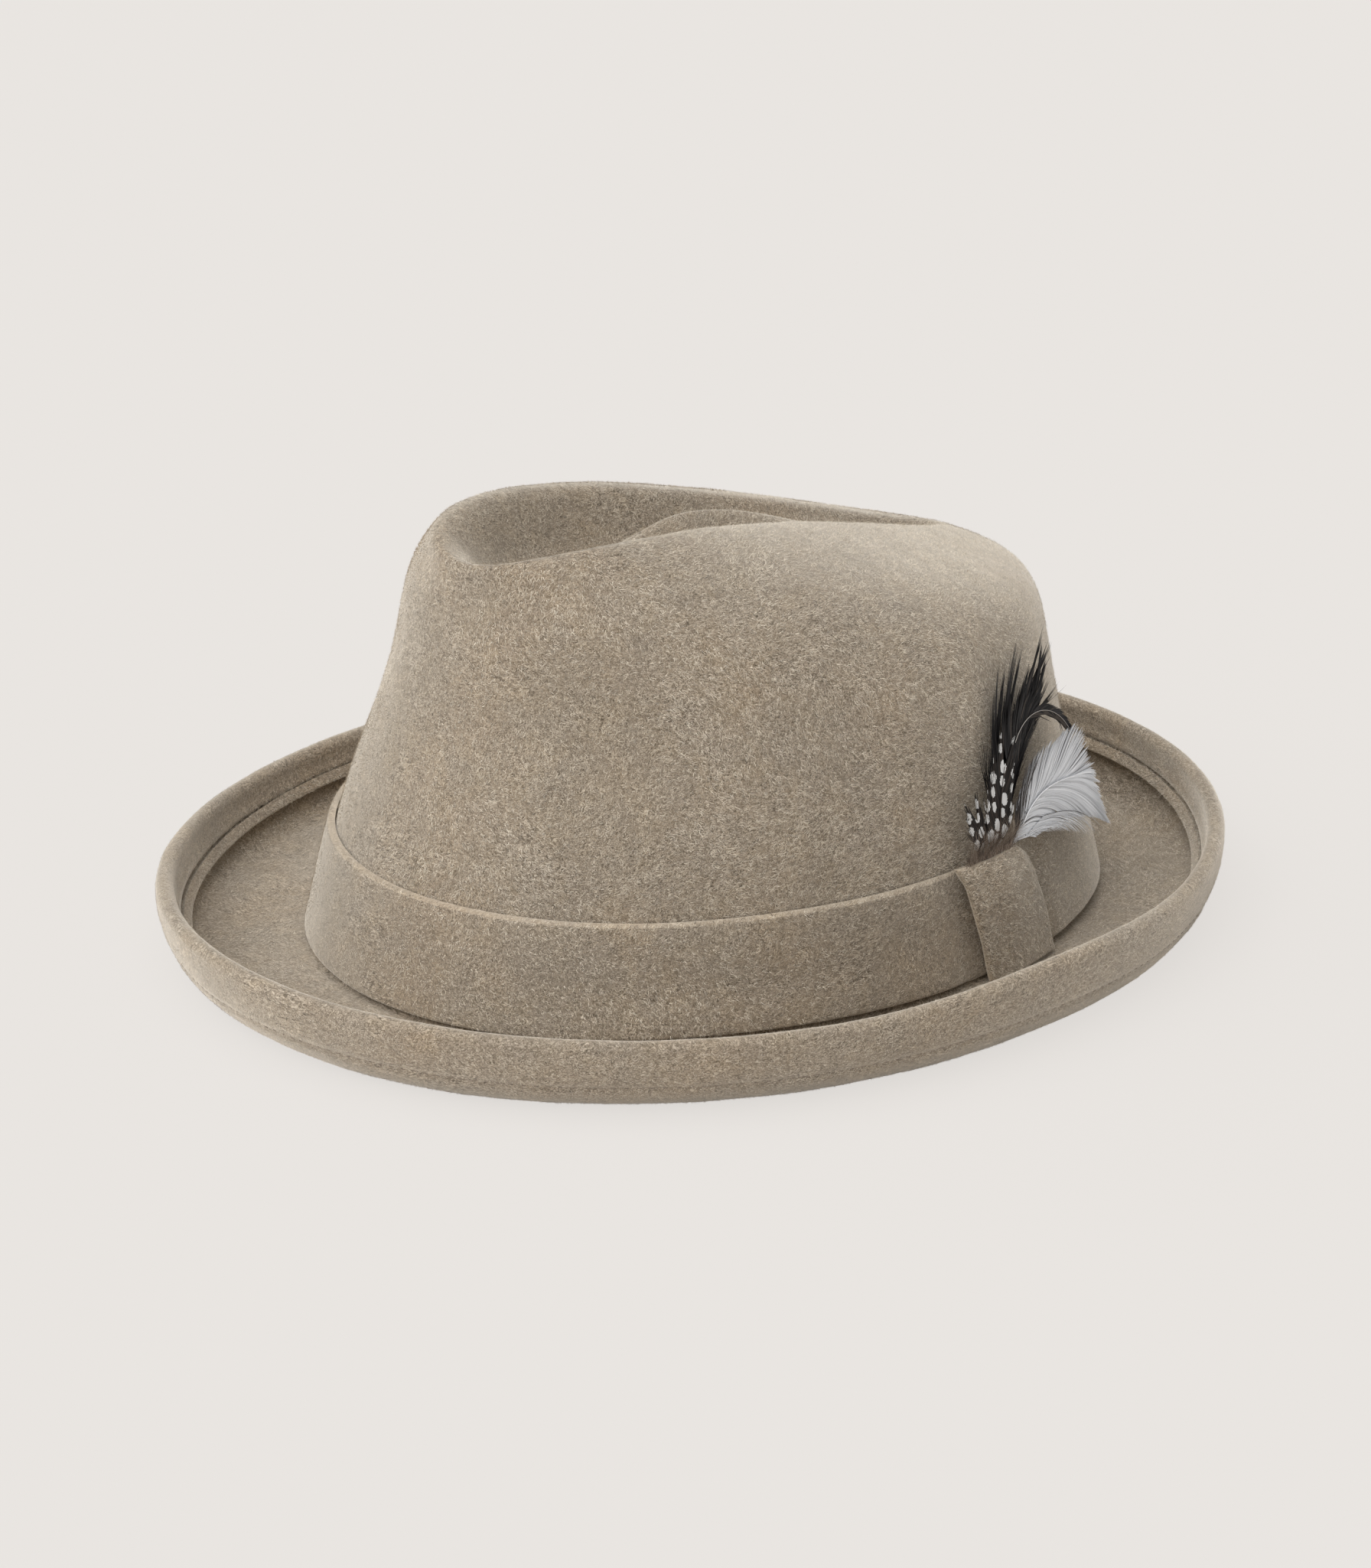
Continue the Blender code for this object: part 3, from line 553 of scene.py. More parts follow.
def nap(name, grid, normals, mats, slot, density, seed, closed=True, length=(0.8, 1.8),
        width=(0.08, 0.17), tilt=(5, 24), mask=None, tones=MIXED_TONES):
    """Short fibres over a sheet, each a slim triangle that leans along a swirling grain.

    Neighbours share a tone in small streaks, so that the felt looks mottled, not dusty.
    density is fibres per square mm, tilt is in degrees, mask thins a closed sheet by place."""
    rng = np.random.default_rng(seed)
    beside = np.roll(grid, -1, axis=1)
    corners = [grid[:-1], beside[:-1], beside[1:], grid[1:]]
    facing = normals[:-1]
    if not closed:
        corners = [corner[:, :-1] for corner in corners]
        facing = facing[:, :-1]
    diagonals = corners[2] - corners[0], corners[3] - corners[1]
    area = 0.5 * np.linalg.norm(np.cross(*diagonals), axis=-1)
    if mask is not None:
        area = area * mask[:-1]
    area = area.ravel()
    count = int(area.sum() * density)
    pick = rng.choice(len(area), size=count, p=area / area.sum())
    right, down = rng.random(count)[:, None], rng.random(count)[:, None]
    first, second, third, fourth = (corner.reshape(-1, 3)[pick] for corner in corners)
    at = (first * (1 - right) * (1 - down) + second * right * (1 - down)
          + third * right * down + fourth * (1 - right) * down)
    normal = facing.reshape(-1, 3)[pick]
    run = second - first
    run = unit(run - (run * normal).sum(1, keepdims=True) * normal)
    other = np.cross(normal, run)

    def turned(turn):
        return run * np.cos(turn)[:, None] + other * np.sin(turn)[:, None]

    turn = 2.4 * noise(at, SWIRL, seed + 5) + 0.9 * noise(at, SWIRL / 3.5, seed + 6)
    ahead = turned(turn + np.radians(WILD_TURN) * rng.normal(size=count))
    grain = turned(turn)
    tuft = sum(noise(at + grain * k, 0.5, seed + 8) for k in (-0.45, 0.0, 0.45)) / 2.1
    for weight, size, step in ((0.09, 2.6, 9), (0.16, 9.0, 10), (0.16, 26.0, 11)):
        tuft = tuft + weight * noise(at, size, seed + step)
    score = tuft + 0.38 * rng.normal(size=count)
    rank = np.empty(count)
    rank[np.argsort(score)] = (np.arange(count) + 0.5) / count
    bounds = np.cumsum(np.array(tones)[DARK_TO_LIGHT]) / sum(tones)
    slots = DARK_TO_LIGHT[np.minimum(np.searchsorted(bounds, rank), 5)]
    lean = np.radians(tilt[0] + (tilt[1] - tilt[0]) * rng.random(count) ** 1.5)[:, None]
    lean = lean * np.where(slots == 5, 0.3, 1.0)[:, None]       # dark fibres lie flat
    direction = ahead * np.cos(lean) + normal * np.sin(lean)
    across = np.cross(ahead, normal)
    size = (length[0] + (length[1] - length[0]) * rng.random(count))[:, None]
    half = 0.5 * (width[0] + (width[1] - width[0]) * rng.random(count))[:, None]
    root = at - normal * ROOT_INSET
    tip = root + direction * size + across * (rng.normal(size=(count, 1)) * 0.12 * size)
    verts = np.stack([root - across * half, root + across * half, tip], 1)
    faces = np.arange(3 * count).reshape(-1, 3)
    piece(name, verts, faces, mats, slot, slots=slots, smooth=False)


# ------------------------------------------------------------------ felt body
def body_sheet():
    """Rings of the felt's face side: crown outside, brim top, inside of the fold, flap.

    Returns the rings, what each one is, and how far each one is from the rim's edge."""
    angle = angles(AROUND)
    unit_x, unit_y = oval_unit(angle)
    stations = np.concatenate([np.linspace(1, 0.42, 62), np.linspace(0.41, 0.002, 34)])
    rows = [(ring, "crown", 0.0) for ring in crown_skin(stations, angle)]
    for turn in np.radians(np.linspace(10, 90, 6)):
        out = BEND * (1 - math.cos(turn))
        z = min(BEND * (1 - math.sin(turn)), BAND_LEVEL - 0.05)
        x, y = (HEAD_WIDE + out) * unit_x, (HEAD_LONG + out) * unit_y
        rows.append((np.stack([x, y, z + 0 * unit_x], -1), "bend", 0.0))
    inner = rows[-1][0]
    outer = rim_ring(angle, curl_point(angle, 0.0, FELT)[0], 0.0)
    for share in np.linspace(0, 1, 14)[1:-1]:
        rows.append((inner * (1 - share) + outer * share, "brim", 0.0))
    for share in np.linspace(0, 1, 44):
        ring = rim_ring(angle, *curl_point(angle, share, FELT))
        rows.append((ring, "curl", (1 - share) * CURL_ARC / ARC_SHARE))
    top = rim_top(angle) - FELT - 0.2
    half = FOLD_GAP / 2
    for turn in np.radians(np.linspace(0, 180, 13)[1:]):
        out = -FELT - half + half * math.cos(turn)
        rows.append((rim_ring(angle, out, top + half * math.sin(turn)), "fold", 0.0))
    for share in np.linspace(1, 1 - WELT / CURL_ARC * ARC_SHARE, 40)[1:]:
        distance = (1 - share) * CURL_ARC / ARC_SHARE
        lifted = FELT + FOLD_GAP + 1.0 * smooth_step((distance - WELT + 3.6) / 3.4)
        narrow = 1 - (1 - share) * welt_share(angle)
        rows.append((rim_ring(angle, *curl_point(angle, narrow, lifted)), "flap", distance))
    rings, labels, distances = zip(*rows)
    return np.stack(rings), np.array(labels), np.array(distances)


face, kind, from_edge = body_sheet()
face_normals = -grid_normals(face, True)        # these rows go down
face_normals[0] = face_normals[1]               # the first ring is a slit
wave = 0.16 * noise(face, 13.0, 3) + 0.10 * noise(face, 4.5, 4) + 0.05 * noise(face, 1.8, 5)
wave = wave[..., None] * smooth_step((np.arange(len(face)) - 2) / 30)[:, None, None]
narrowed = welt_share(angles(AROUND))[None, :]


def flap_bell(offset, width):
    return bell((from_edge - GROOVE_AT + offset) / width)[:, None, None]


def curl_bell(width):
    """1 along the stitch line as it shows on the outside of the upturned rim."""
    return bell((from_edge[:, None] / narrowed - GROOVE_AT) / width)


on_curl = (kind == "curl")[:, None, None]
on_flap = (kind == "flap")[:, None, None]
wavy = np.isin(kind, ("crown", "bend", "brim"))[:, None, None]
front = face + face_normals * wave * wavy
puff = flap_bell(-2.3, 1.3) + flap_bell(2.6, 1.7)
back_wave = (0.16 * noise(face, 12.0, 7) + 0.09 * noise(face, 4.0, 8))[..., None]
back = face - face_normals * (
    FELT - 0.30 * curl_bell(1.05)[..., None] * on_curl
    - (1.05 * flap_bell(0.0, 0.75) - 0.35 * puff) * on_flap + back_wave * 0.7)


def build_body():
    rows = len(face)
    edge_mid = 0.5 * (front[-1] + back[-1]) + 0.4 * unit(front[-1] - front[-3])
    start = rows * AROUND
    j = np.arange(AROUND)
    after = (j + 1) % AROUND
    last_front, last_back, middle = start - AROUND, 2 * start - AROUND, 2 * start
    cap = slit_cap(AROUND)
    faces = [
        grid_faces(rows, AROUND, True),
        grid_faces(rows, AROUND, True, start, flip=True),
        np.stack([last_front + j, middle + j, middle + after, last_front + after], -1),
        np.stack([middle + j, last_back + j, last_back + after, middle + after], -1),
        cap,
        cap[:, ::-1] + start,
    ]
    verts = np.concatenate([front.reshape(-1, 3), back.reshape(-1, 3), edge_mid])
    piece("felt_hat_body", verts, np.concatenate(faces), [FELT_BODY], "felt_body", "felt_body",
          sharp=60)


def body_nap(name, kinds, on_front, mask=None, **look):
    rows = np.isin(kind, kinds)
    grid, normals = (front, face_normals) if on_front else (back, -face_normals)
    mask = None if mask is None else mask[rows]
    nap(name, grid[rows], normals[rows], NAP, "felt_body", mask=mask, **look)


build_body()
above_band = (face[..., 2] > BAND_TOP - 2.0).astype(float)
open_top = ~((kind == "bend") | (kind == "curl") & (from_edge < WELT + 0.2))[:, None]
body_nap("nap_crown", ["crown"], True, above_band, density=6.9, seed=11)
# upright fuzz in cream and light tones only: a painted light fringe along the crown's outlines
body_nap("nap_crown_fuzz", ["crown"], True, above_band, density=0.9, seed=17, tilt=(35, 75),
         length=(0.5, 0.95), width=(0.05, 0.08), tones=(0.6, 0.4, 0.0, 0.0, 0.0, 0.0))
body_nap("nap_brim_top", ["bend", "brim", "curl"], True, open_top, density=5.0, seed=12)
body_nap("nap_welt", ["flap"], False, 1 - 0.8 * flap_bell(0.0, 0.7)[..., 0], density=6.0,
         seed=13, length=(0.7, 1.5), tones=(0.16, 0.24, 0.18, 0.14, 0.11, 0.17))
# the rim's top fold takes the light tone mix, a painted highlight
body_nap("nap_rim_fold", ["fold"], False, density=9.0, seed=14, tilt=(8, 34),
         length=(0.4, 0.9), width=(0.05, 0.09), tones=EDGE_HIGHLIGHT_TONES)
# a lighter tone mix on the outside of the upturned rim: painted light on its down-facing face
body_nap("nap_curl_outside", ["curl"], False, 1 - 0.75 * curl_bell(0.7), density=6.5, seed=15,
         length=(0.7, 1.5), width=(0.08, 0.15), tilt=(5, 20),
         tones=(0.36, 0.32, 0.16, 0.08, 0.06, 0.02))
body_nap("nap_brim_underside", ["bend", "brim"], False, density=2.4, seed=16)

# ------------------------------------------------------------------ band and keeper
EDGE_ROUND = 0.9
BAND_SEAM = 0.0105      # half the gap between the band's ends, radians
STRIP_NAP = dict(mats=NAP_BAND, slot="felt_band", closed=False, length=(0.7, 1.5),
                 width=(0.09, 0.18))
# edge fibres take the light tone mix, a painted highlight along the band's and keeper's edges
EDGE_NAP = dict(mats=NAP, slot="felt_band", closed=False, tilt=(20, 60), length=(0.3, 0.7),
                width=(0.05, 0.09), tones=EDGE_HIGHLIGHT_TONES)


def strip_levels(bottom, top, inside):
    """Heights up a strip, closer in the rounded edges, and how far each row pulls in."""
    ends = [(EDGE_ROUND * (1 - math.sin(turn)), EDGE_ROUND * (1 - math.cos(turn)))
            for turn in np.radians([90, 55, 25])]
    middle = np.linspace(bottom + EDGE_ROUND, top - EDGE_ROUND, inside)
    return ([(bottom + rise, pull) for rise, pull in ends] + [(z, 0.0) for z in middle]
            + [(top - rise, pull) for rise, pull in reversed(ends)])


def build_band():
    angle = np.linspace(KEEPER_MID + BAND_SEAM - 2 * math.pi, KEEPER_MID - BAND_SEAM, 361)
    turn = np.degrees(angle) % 360
    # the lower edge stands off the wall before and behind the keeper
    stand_off = 1.5 * bell((turn - 58) / 28) + 1.3 * bell((turn - 128) / 20)
    # the outer face is pressed in beside the keeper
    beside = (bell((angle - KEEPER_MID + KEEPER_HALF - 0.01) / 0.055)
              + 0.5 * bell((angle + 2 * math.pi - KEEPER_MID - KEEPER_HALF) / 0.04))
    inner, outer = [], []
    for z, pull in strip_levels(BAND_LEVEL, BAND_TOP, 12):
        up = (z - BAND_LEVEL) / BAND_TALL
        probe = round_probe(100, angle, z)
        sway = 0.14 * noise(probe, 30.0, 21) + 0.08 * noise(probe, 9.0, 22)
        rise = 0.35 * noise(probe * [1, 1, 0], 45.0, 23) * up
        stand = stand_off * (1 - smooth_step(up / 0.5))
        clear = GAP + 0.10 + 0.10 * up ** 3 + np.maximum(sway, -0.2) + 0.5 * stand
        height = z + rise + stand
        inner.append(ring_at(z, angle, clear + pull * (0.8 if up < 0.5 else 0.12), height))
        outer.append(ring_at(z, angle, clear + BAND_THICK - 0.12 - pull - beside, height))
    inner, outer = np.stack(inner), np.stack(outer)
    thick_sheet("felt_band", inner, outer, False, [FELT_STRIP, FELT_EDGE_HIGHLIGHT], "felt_band",
                "hat_band", edge_rows=2)
    normals = grid_normals(outer, False)
    nap("nap_band", outer[2:-1], normals[2:-1], density=6.5, seed=31, tilt=(5, 20), **STRIP_NAP)
    nap("nap_band_edge", outer[-4:], normals[-4:], density=9.0, seed=32, **EDGE_NAP)


def build_keeper():
    cols, low, top = 42, 0.9, BAND_TOP + 1.4
    # share of the width at each column, bunched at both sides
    edge = np.sin(np.linspace(-math.pi / 2, math.pi / 2, cols)) * 0.5 + 0.5
    edge = 0.6 * edge + 0.4 * np.linspace(0, 1, cols)
    side_round = np.minimum(1, np.minimum(edge, 1 - edge) * KEEPER_WIDE / EDGE_ROUND)
    side_pull = 0.75 * (1 - np.sqrt(np.clip(1 - (1 - side_round) ** 2, 0, 1)))
    inner, outer = [], []
    for z, pull in strip_levels(low, top, 22):
        up = (z - low) / (top - low)
        shift = -0.0022 * (z - 15.0) - 0.012 * smooth_step((up - 0.8) / 0.2) * (1 - edge)
        narrow = 0.020 * (1 - smooth_step(up / 0.5)) * edge
        angle = KEEPER_MID - KEEPER_HALF + 2 * KEEPER_HALF * edge + shift - narrow
        belly = 0.5 + 1.8 * bell((edge - 0.38) / 0.34) * (0.45 + 0.55 * smooth_step(up * 1.3))
        loose_side = 2.1 * bell(edge / 0.20) * smooth_step(up * 2.5)
        lean_in = 0.8 * smooth_step((up - 0.84) / 0.16)
        probe = np.column_stack([angle * 100, 0 * angle, 0 * angle + z])
        clear = (GAP + BAND_THICK + 0.25 + belly + loose_side * 0.6
                 + 0.12 * noise(probe, 8.0, 41) - lean_in)
        rise = (0.3 * noise(probe * [1, 0, 0], 9.0, 43) + 0.5 - 1.5 * edge ** 1.5
                - 2.4 * smooth_step((edge - 0.82) / 0.18))
        height = z + rise * up
        inner.append(ring_at(z, angle, clear + pull * 0.7 + side_pull * 0.6, height))
        outer.append(ring_at(z, angle, clear + 1.8 - pull - side_pull, height))
    inner, outer = np.stack(inner), np.stack(outer)
    thick_sheet("felt_keeper_loop", inner, outer, False, [FELT_STRIP, FELT_EDGE_HIGHLIGHT], "felt_band",
                "band_keeper", edge_rows=1)
    normals = grid_normals(outer, False)
    nap("nap_keeper", outer[1:-1], normals[1:-1], density=7.5, seed=33, tilt=(6, 28),
        **STRIP_NAP)
    side = np.stack([inner[:, 0], outer[:, 0], outer[:, 1]], 1)
    nap("nap_keeper_edge", side, grid_normals(side, False), density=12.0, seed=34, **EDGE_NAP)


build_band()
build_keeper()


# ------------------------------------------------------------------ stitching
def stitch_run(path, normals, closed, spacing, length, radius, sunk, seed):
    """Spindle-shaped stitches laid along a path; returns (verts, quads)."""
    rng = np.random.default_rng(seed)
    if closed:
        path, normals = (np.concatenate([row, row[:1]]) for row in (path, normals))
    run = np.concatenate([[0], np.cumsum(np.linalg.norm(np.diff(path, axis=0), axis=1))])
    count = int(run[-1] / spacing)
    ring = np.linspace(0, 2 * math.pi, 6, endpoint=False)[:, None]
    # along each stitch: place as a share of its length, dip, thickness
    stations = np.array([-0.5, -0.42, -0.2, 0.2, 0.42, 0.5])
    dips = np.array([1.0, 0.35, 0.0, 0.0, 0.35, 1.0]) * radius * 1.6
    sizes = np.array([0.25, 0.8, 1.0, 1.0, 0.8, 0.25]) * radius
    parts = []
    for k in range(count):
        mid = (k + 0.5) * run[-1] / count
        places = (mid + length * stations) % run[-1]
        points = np.stack([np.interp(places, run, path[:, axis]) for axis in range(3)], -1)
        normal = unit(np.array([np.interp(mid, run, normals[:, axis]) for axis in range(3)]))
        across = np.cross(unit(points[-1] - points[0]), normal)
        aside = across * rng.normal() * 0.05
        rows = [point - normal * (dip + sunk) + aside
                + size * (np.cos(ring) * across + np.sin(ring) * normal)
                for point, dip, size in zip(points, dips, sizes)]
        parts.append((np.concatenate(rows), grid_faces(6, 6, True)))
    return join_parts(parts)


THREAD = thread_material("thread_taupe_twist", dark=(0.13, 0.10, 0.075),
                         light=(0.26, 0.21, 0.16))


def build_welt_stitches():
    flap = np.where(kind == "flap")[0]
    row = flap[np.argmin(np.abs(from_edge[flap] - GROOVE_AT))]
    on_welt = stitch_run(back[row], -face_normals[row], True, spacing=2.9, length=2.1,
                         radius=0.24, sunk=0.12, seed=51)
    # the same seam on the outside of the rim falls between two rows
    curl = np.where(kind == "curl")[0]
    place = np.interp(GROOVE_AT * narrowed[0], from_edge[curl][::-1],
                      np.arange(len(curl))[::-1])
    low = np.floor(place).astype(int)
    part = (place - low)[:, None]
    j = np.arange(AROUND)
    path = back[curl[low], j] * (1 - part) + back[curl[low + 1], j] * part
    outside = stitch_run(path, -face_normals[curl[low], j], True, spacing=2.9, length=2.0,
                         radius=0.22, sunk=0.12, seed=52)
    piece("welt_stitches", *join_parts([on_welt, outside]), [THREAD], "stitch_thread",
          "welt_stitch_thread")


build_welt_stitches()

# ------------------------------------------------------------------ feathers
# Feathers are drawn on the band's sloping face as (along, up) from its top edge, in mm: along
# runs towards the back, up runs up the slope, and out is the distance off it.
SLOPE = math.radians(11.5)
TUFT_ANGLE = math.radians(102.0)


def tuft_frame():
    """The tuft's origin on the band's top edge, and its along, up and out directions."""
    fore, left, rear = wall_section(BAND_TOP, np.array([0.0, math.pi / 2, math.pi]))
    long = (rear[1] - fore[1]) / 2 + GAP + BAND_THICK
    wide = left[0] + GAP + BAND_THICK
    x, y = math.sin(TUFT_ANGLE), -math.cos(TUFT_ANGLE)
    flat = unit(np.array([x / wide, y / long, 0]))
    along = np.array([-flat[1], flat[0], 0])
    upright = np.array([0, 0, 1])
    up = -math.sin(SLOPE) * flat + math.cos(SLOPE) * upright
    out = math.cos(SLOPE) * flat + math.sin(SLOPE) * upright
    return np.array([wide * x, long * y + (rear[1] + fore[1]) / 2, BAND_TOP]), along, up, out


TUFT_AT, ALONG, UPSLOPE, OUTSLOPE = tuft_frame()


def flat_point(along, up, out):
    along, up, out = (np.asarray(part, float)[..., None]
                      for part in np.broadcast_arrays(along, up, out))
    return TUFT_AT + along * ALONG + up * UPSLOPE + out * OUTSLOPE


def slope_point(along, up, out):
    """As flat_point, but low down the layers press together behind the keeper."""
    behind = smooth_step((7.0 - along) / 3.0) * smooth_step((along + 24.0) / 3.0)
    press = 1 - 0.55 * behind * (1 - smooth_step((up - 1.5) / 5.0))
    return flat_point(along, up, out * press)


def bezier(points, at):
    """Bezier of any degree; one row per share in at."""
    at = np.atleast_1d(at)[:, None]
    points = [np.array(point, float) for point in points]
    while len(points) > 1:
        points = [low * (1 - at) + high * at for low, high in zip(points, points[1:])]
    return points[0]


def shaft(spine, layer, base, tip, stations=30, lift=0.0, start=0.0):
    """A feather's shaft, with a radius that goes from base to tip."""
    at = np.linspace(start, 1, stations)
    line = bezier(spine, at)
    centre = slope_point(line[:, 0], line[:, 1], layer + lift * at ** 2)
    radius = (base + (tip - base) * at)[:, None, None]
    grid = tube(centre, np.gradient(centre, axis=0), OUTSLOPE, radius, 8, flat=0.8)
    return grid.reshape(-1, 3), grid_faces(stations, 8, True)


def walked(heading, length):
    """Offsets along and up of a line of this length that follows the headings."""
    step = length / (len(heading) - 1)
    return [np.concatenate([[0], np.cumsum(part[:-1] * step)])
            for part in (np.cos(heading), np.sin(heading))]


def blade(along, up, out, ahead, half):
    """A strip of quads along a line; ahead is its (along, up) direction, half its half width."""
    aside, above = -ahead[1] * half, ahead[0] * half
    left = slope_point(along + aside, up + above, out)
    right = slope_point(along - aside, up - above, out)
    i = np.arange(len(along) - 1) * 2
    return np.stack([left, right], 1).reshape(-1, 3), np.stack([i, i + 1, i + 3, i + 2], -1)


def middles(values):
    return (values[:-1] + values[1:]) / 2


def barbs(spine, layer, count, sides, start, seed, clump, clump_turn, jitter, width, thin,
          taper, steps, wild=0.03, lift=0.0):
    """Barbs both sides of a spine, in clumps; angles are in degrees.

    sides maps +1 and -1 to (length(at), angle(at), curl, camber). Returns verts, quads, and for
    each quad its side, a draw per barb, shares along barb and spine, and its (along, up)."""
    rng = np.random.default_rng(seed)
    parts, info = [], []
    share = np.linspace(0, 1, steps)
    for side, (length, angle, curl, camber) in sides.items():
        swing = rng.normal(size=count // clump + 2) * clump_turn
        longer = 1 + 0.10 * rng.normal(size=count // clump + 2)
        for k in range(count):
            at = start + (1 - start) * (k + 0.3 * rng.random()) / count
            root = bezier(spine, at)[0]
            ahead = (bezier(spine, min(at + 0.01, 1.0)) - bezier(spine, max(at - 0.01, 0)))[0]
            group = k // clump
            inside = (k % clump) / clump - 0.5
            leave = math.radians(angle(at) + swing[group] + jitter * rng.normal()
                                 - inside * clump_turn)
            size = max(length(at), 0.5) * longer[group] * (1 + 0.08 * rng.normal())
            if rng.random() < wild:
                size *= 1.2
                leave += math.radians(14 * rng.normal())
            heading = math.atan2(ahead[1], ahead[0]) - side * leave * (1 - curl * share)
            run = walked(heading, size)
            along, up = root[0] + run[0], root[1] + run[1]
            out = (layer + lift * at ** 2 + camber * share ** 2 * size / 10.0
                   + 0.10 * rng.normal() * share + 0.05 * rng.normal())
            half = (0.5 * width * np.maximum(1 - thin * share ** taper, 0.06)
                    * (0.8 + 0.4 * rng.random()))
            parts.append(blade(along, up, out, (np.cos(heading), np.sin(heading)), half))
            info.append(np.stack(np.broadcast_arrays(
                side, rng.random(), middles(share), at, middles(along), middles(up))))
    names = ("side", "draw", "barb", "spine", "along", "up")
    return *join_parts(parts), dict(zip(names, np.concatenate(info, axis=1)))


def feather(name, parts, mats, slot, node):
    """parts: list of (verts, quads, material index per quad or for all)."""
    verts, faces = join_parts([part[:2] for part in parts])
    slots = np.concatenate([np.broadcast_to(part[2], len(part[1])) for part in parts])
    piece(name, verts, faces, mats, slot, node, body="feather_tuft", slots=slots)


BLACKS = palette(
    "feather_",
    ("black_a", (0.0045, 0.004, 0.0045), 0.45, 0.0, 0.16),
    ("black_b", (0.012, 0.0105, 0.011), 0.45, 0.0, 0.25),
    ("black_c", (0.046, 0.036, 0.029), 0.5, 0.0, 0.25),
    ("quill_horn", (0.34, 0.31, 0.28), 0.35, 0.0, 0.5))
# Black sprays. First line: spine, layer; second: count, seed, start, clump, clump turn, width,
# draw from which barbs are brown; then for the +1 and the -1 side: length, its gain along the
# spine, angle, its gain, curl, camber.
HACKLES = (
    # the dense middle
    (((-1.0, 3), (2.5, 20), (13.5, 29), (20.5, 36.5)), 1.0,
     280, 61, 0.12, 9, 3.0, 0.24, 0.93,
     (12.5, -2.5, 24, -10, 0.85, 0.2), (13.0, -2.5, 24, -10, 0.85, 0.2)),
    (((0.0, 3), (7.0, 19), (16.5, 25), (22.0, 34.0)), 1.2,
     260, 62, 0.12, 9, 3.0, 0.24, 0.93,
     (10.0, -3.0, 16, -9, 0.75, 0.3), (11.5, -1.5, 24, -10, 0.8, 0.2)),
    # spikes towards the front
    (((-2.5, 3), (-0.5, 18), (4.5, 31)), 0.7,
     70, 63, 0.2, 12, 2.5, 0.22, 0.95,
     (14.5, 0, 13, -5, 0.9, 0.2), (14.0, 1.5, 15, -6, 0.9, 0.3)),
    (((-1.0, 3), (3.0, 22), (11.0, 34.5)), 0.8,
     90, 64, 0.25, 14, 2.2, 0.22, 0.95,
     (14.0, 0, 11, -5, 0.9, 0.2), (15.0, 0, 13, -5, 0.9, 0.3)),
    # fine low spikes beside the spotted feathers
    (((-5.0, 6), (-5.5, 14), (-4.5, 21)), 2.2,
     12, 65, 0.3, 3, 4.0, 0.16, 0.8,
     (8.0, 0, 8.0, 0, 0.3, 0.2), (9.0, 0, 12.0, 0, 0.3, 0.2)),
    # sparse brown-black barbs towards the back
    (((4.0, 8), (13.0, 24), (22.0, 29)), 0.4,
     110, 66, 0.3, 4, 4.0, 0.13, 0.45,
     (9.5, 0, 22, -8, 0.5, 0.5), (9.5, 0, 26, -8, 0.5, 0.3)),
)


def black_slots(info, brown):
    return np.where(info["draw"] < 0.60, 0, np.where(info["draw"] < brown, 1, 2))


def linear_side(length, length_gain, angle, angle_gain, curl, camber):
    return (lambda at: length + length_gain * at, lambda at: angle + angle_gain * at,
            curl, camber)


def build_black_hackle():
    parts = []
    for spine, layer, count, seed, start, clump, turn, width, brown, plus, minus in HACKLES:
        sides = {1: linear_side(*plus), -1: linear_side(*minus)}
        verts, faces, info = barbs(
            spine, layer, count, sides, start=start, seed=seed, clump=clump, clump_turn=turn,
            jitter=0.9, width=width, thin=0.95, taper=3.0, steps=10, wild=0.02)
        parts.append((verts, faces, black_slots(info, brown)))
        parts.append((*shaft(spine, layer + 0.12, base=0.24, tip=0.06), 0))
    feather("black_hackle", parts, BLACKS, "feather_black", "feather_black_long")


def build_black_curl():
    spine = ((3.5, 9.0), (4.5, 33.0), (24.5, 33.5), (30.8, 22.0))
    sides = {
        1: (lambda at: 2.6 + 3.2 * bell((at - 0.70) / 0.20), lambda at: 24, 0.2, 0.3),
        -1: (lambda at: (8.5 * max(0.0, 1 - at) ** 0.6 * (at < 0.55) + (4.2 - 2.2 * at)
                         + 1.0 * (at > 0.55)),
             lambda at: 24 + 8 * at, 0.75, 0.1),
    }
    verts, faces, info = barbs(
        spine, 1.9, 300, sides, start=0.14, seed=67, clump=8, clump_turn=1.6, jitter=0.8,
        width=0.27, thin=0.85, taper=3.0, steps=9, lift=0.4)
    slots = black_slots(info, 0.95)
    slots[(info["side"] > 0) & (info["spine"] > 0.5) & (info["draw"] > 0.35)] = 2
    quill = shaft(spine, 2.2, base=0.11, tip=0.06, lift=0.4, start=0.3)
    feather("black_curled_feather", [(verts, faces, slots), (*quill, 3)], BLACKS,
            "feather_black", "feather_black_curl")


build_black_hackle()
build_black_curl()

WHITES = palette(
    "feather_white_",
    ("a", (0.66, 0.67, 0.69), 0.55, 0.1, 0.3),
    ("b", (0.50, 0.505, 0.52), 0.55, 0.1, 0.3),
    ("c", (0.80, 0.805, 0.82), 0.55, 0.1, 0.3),
    ("smoke", (0.075, 0.066, 0.062), 0.6, 0.0, 0.3))
SMOKE = 3
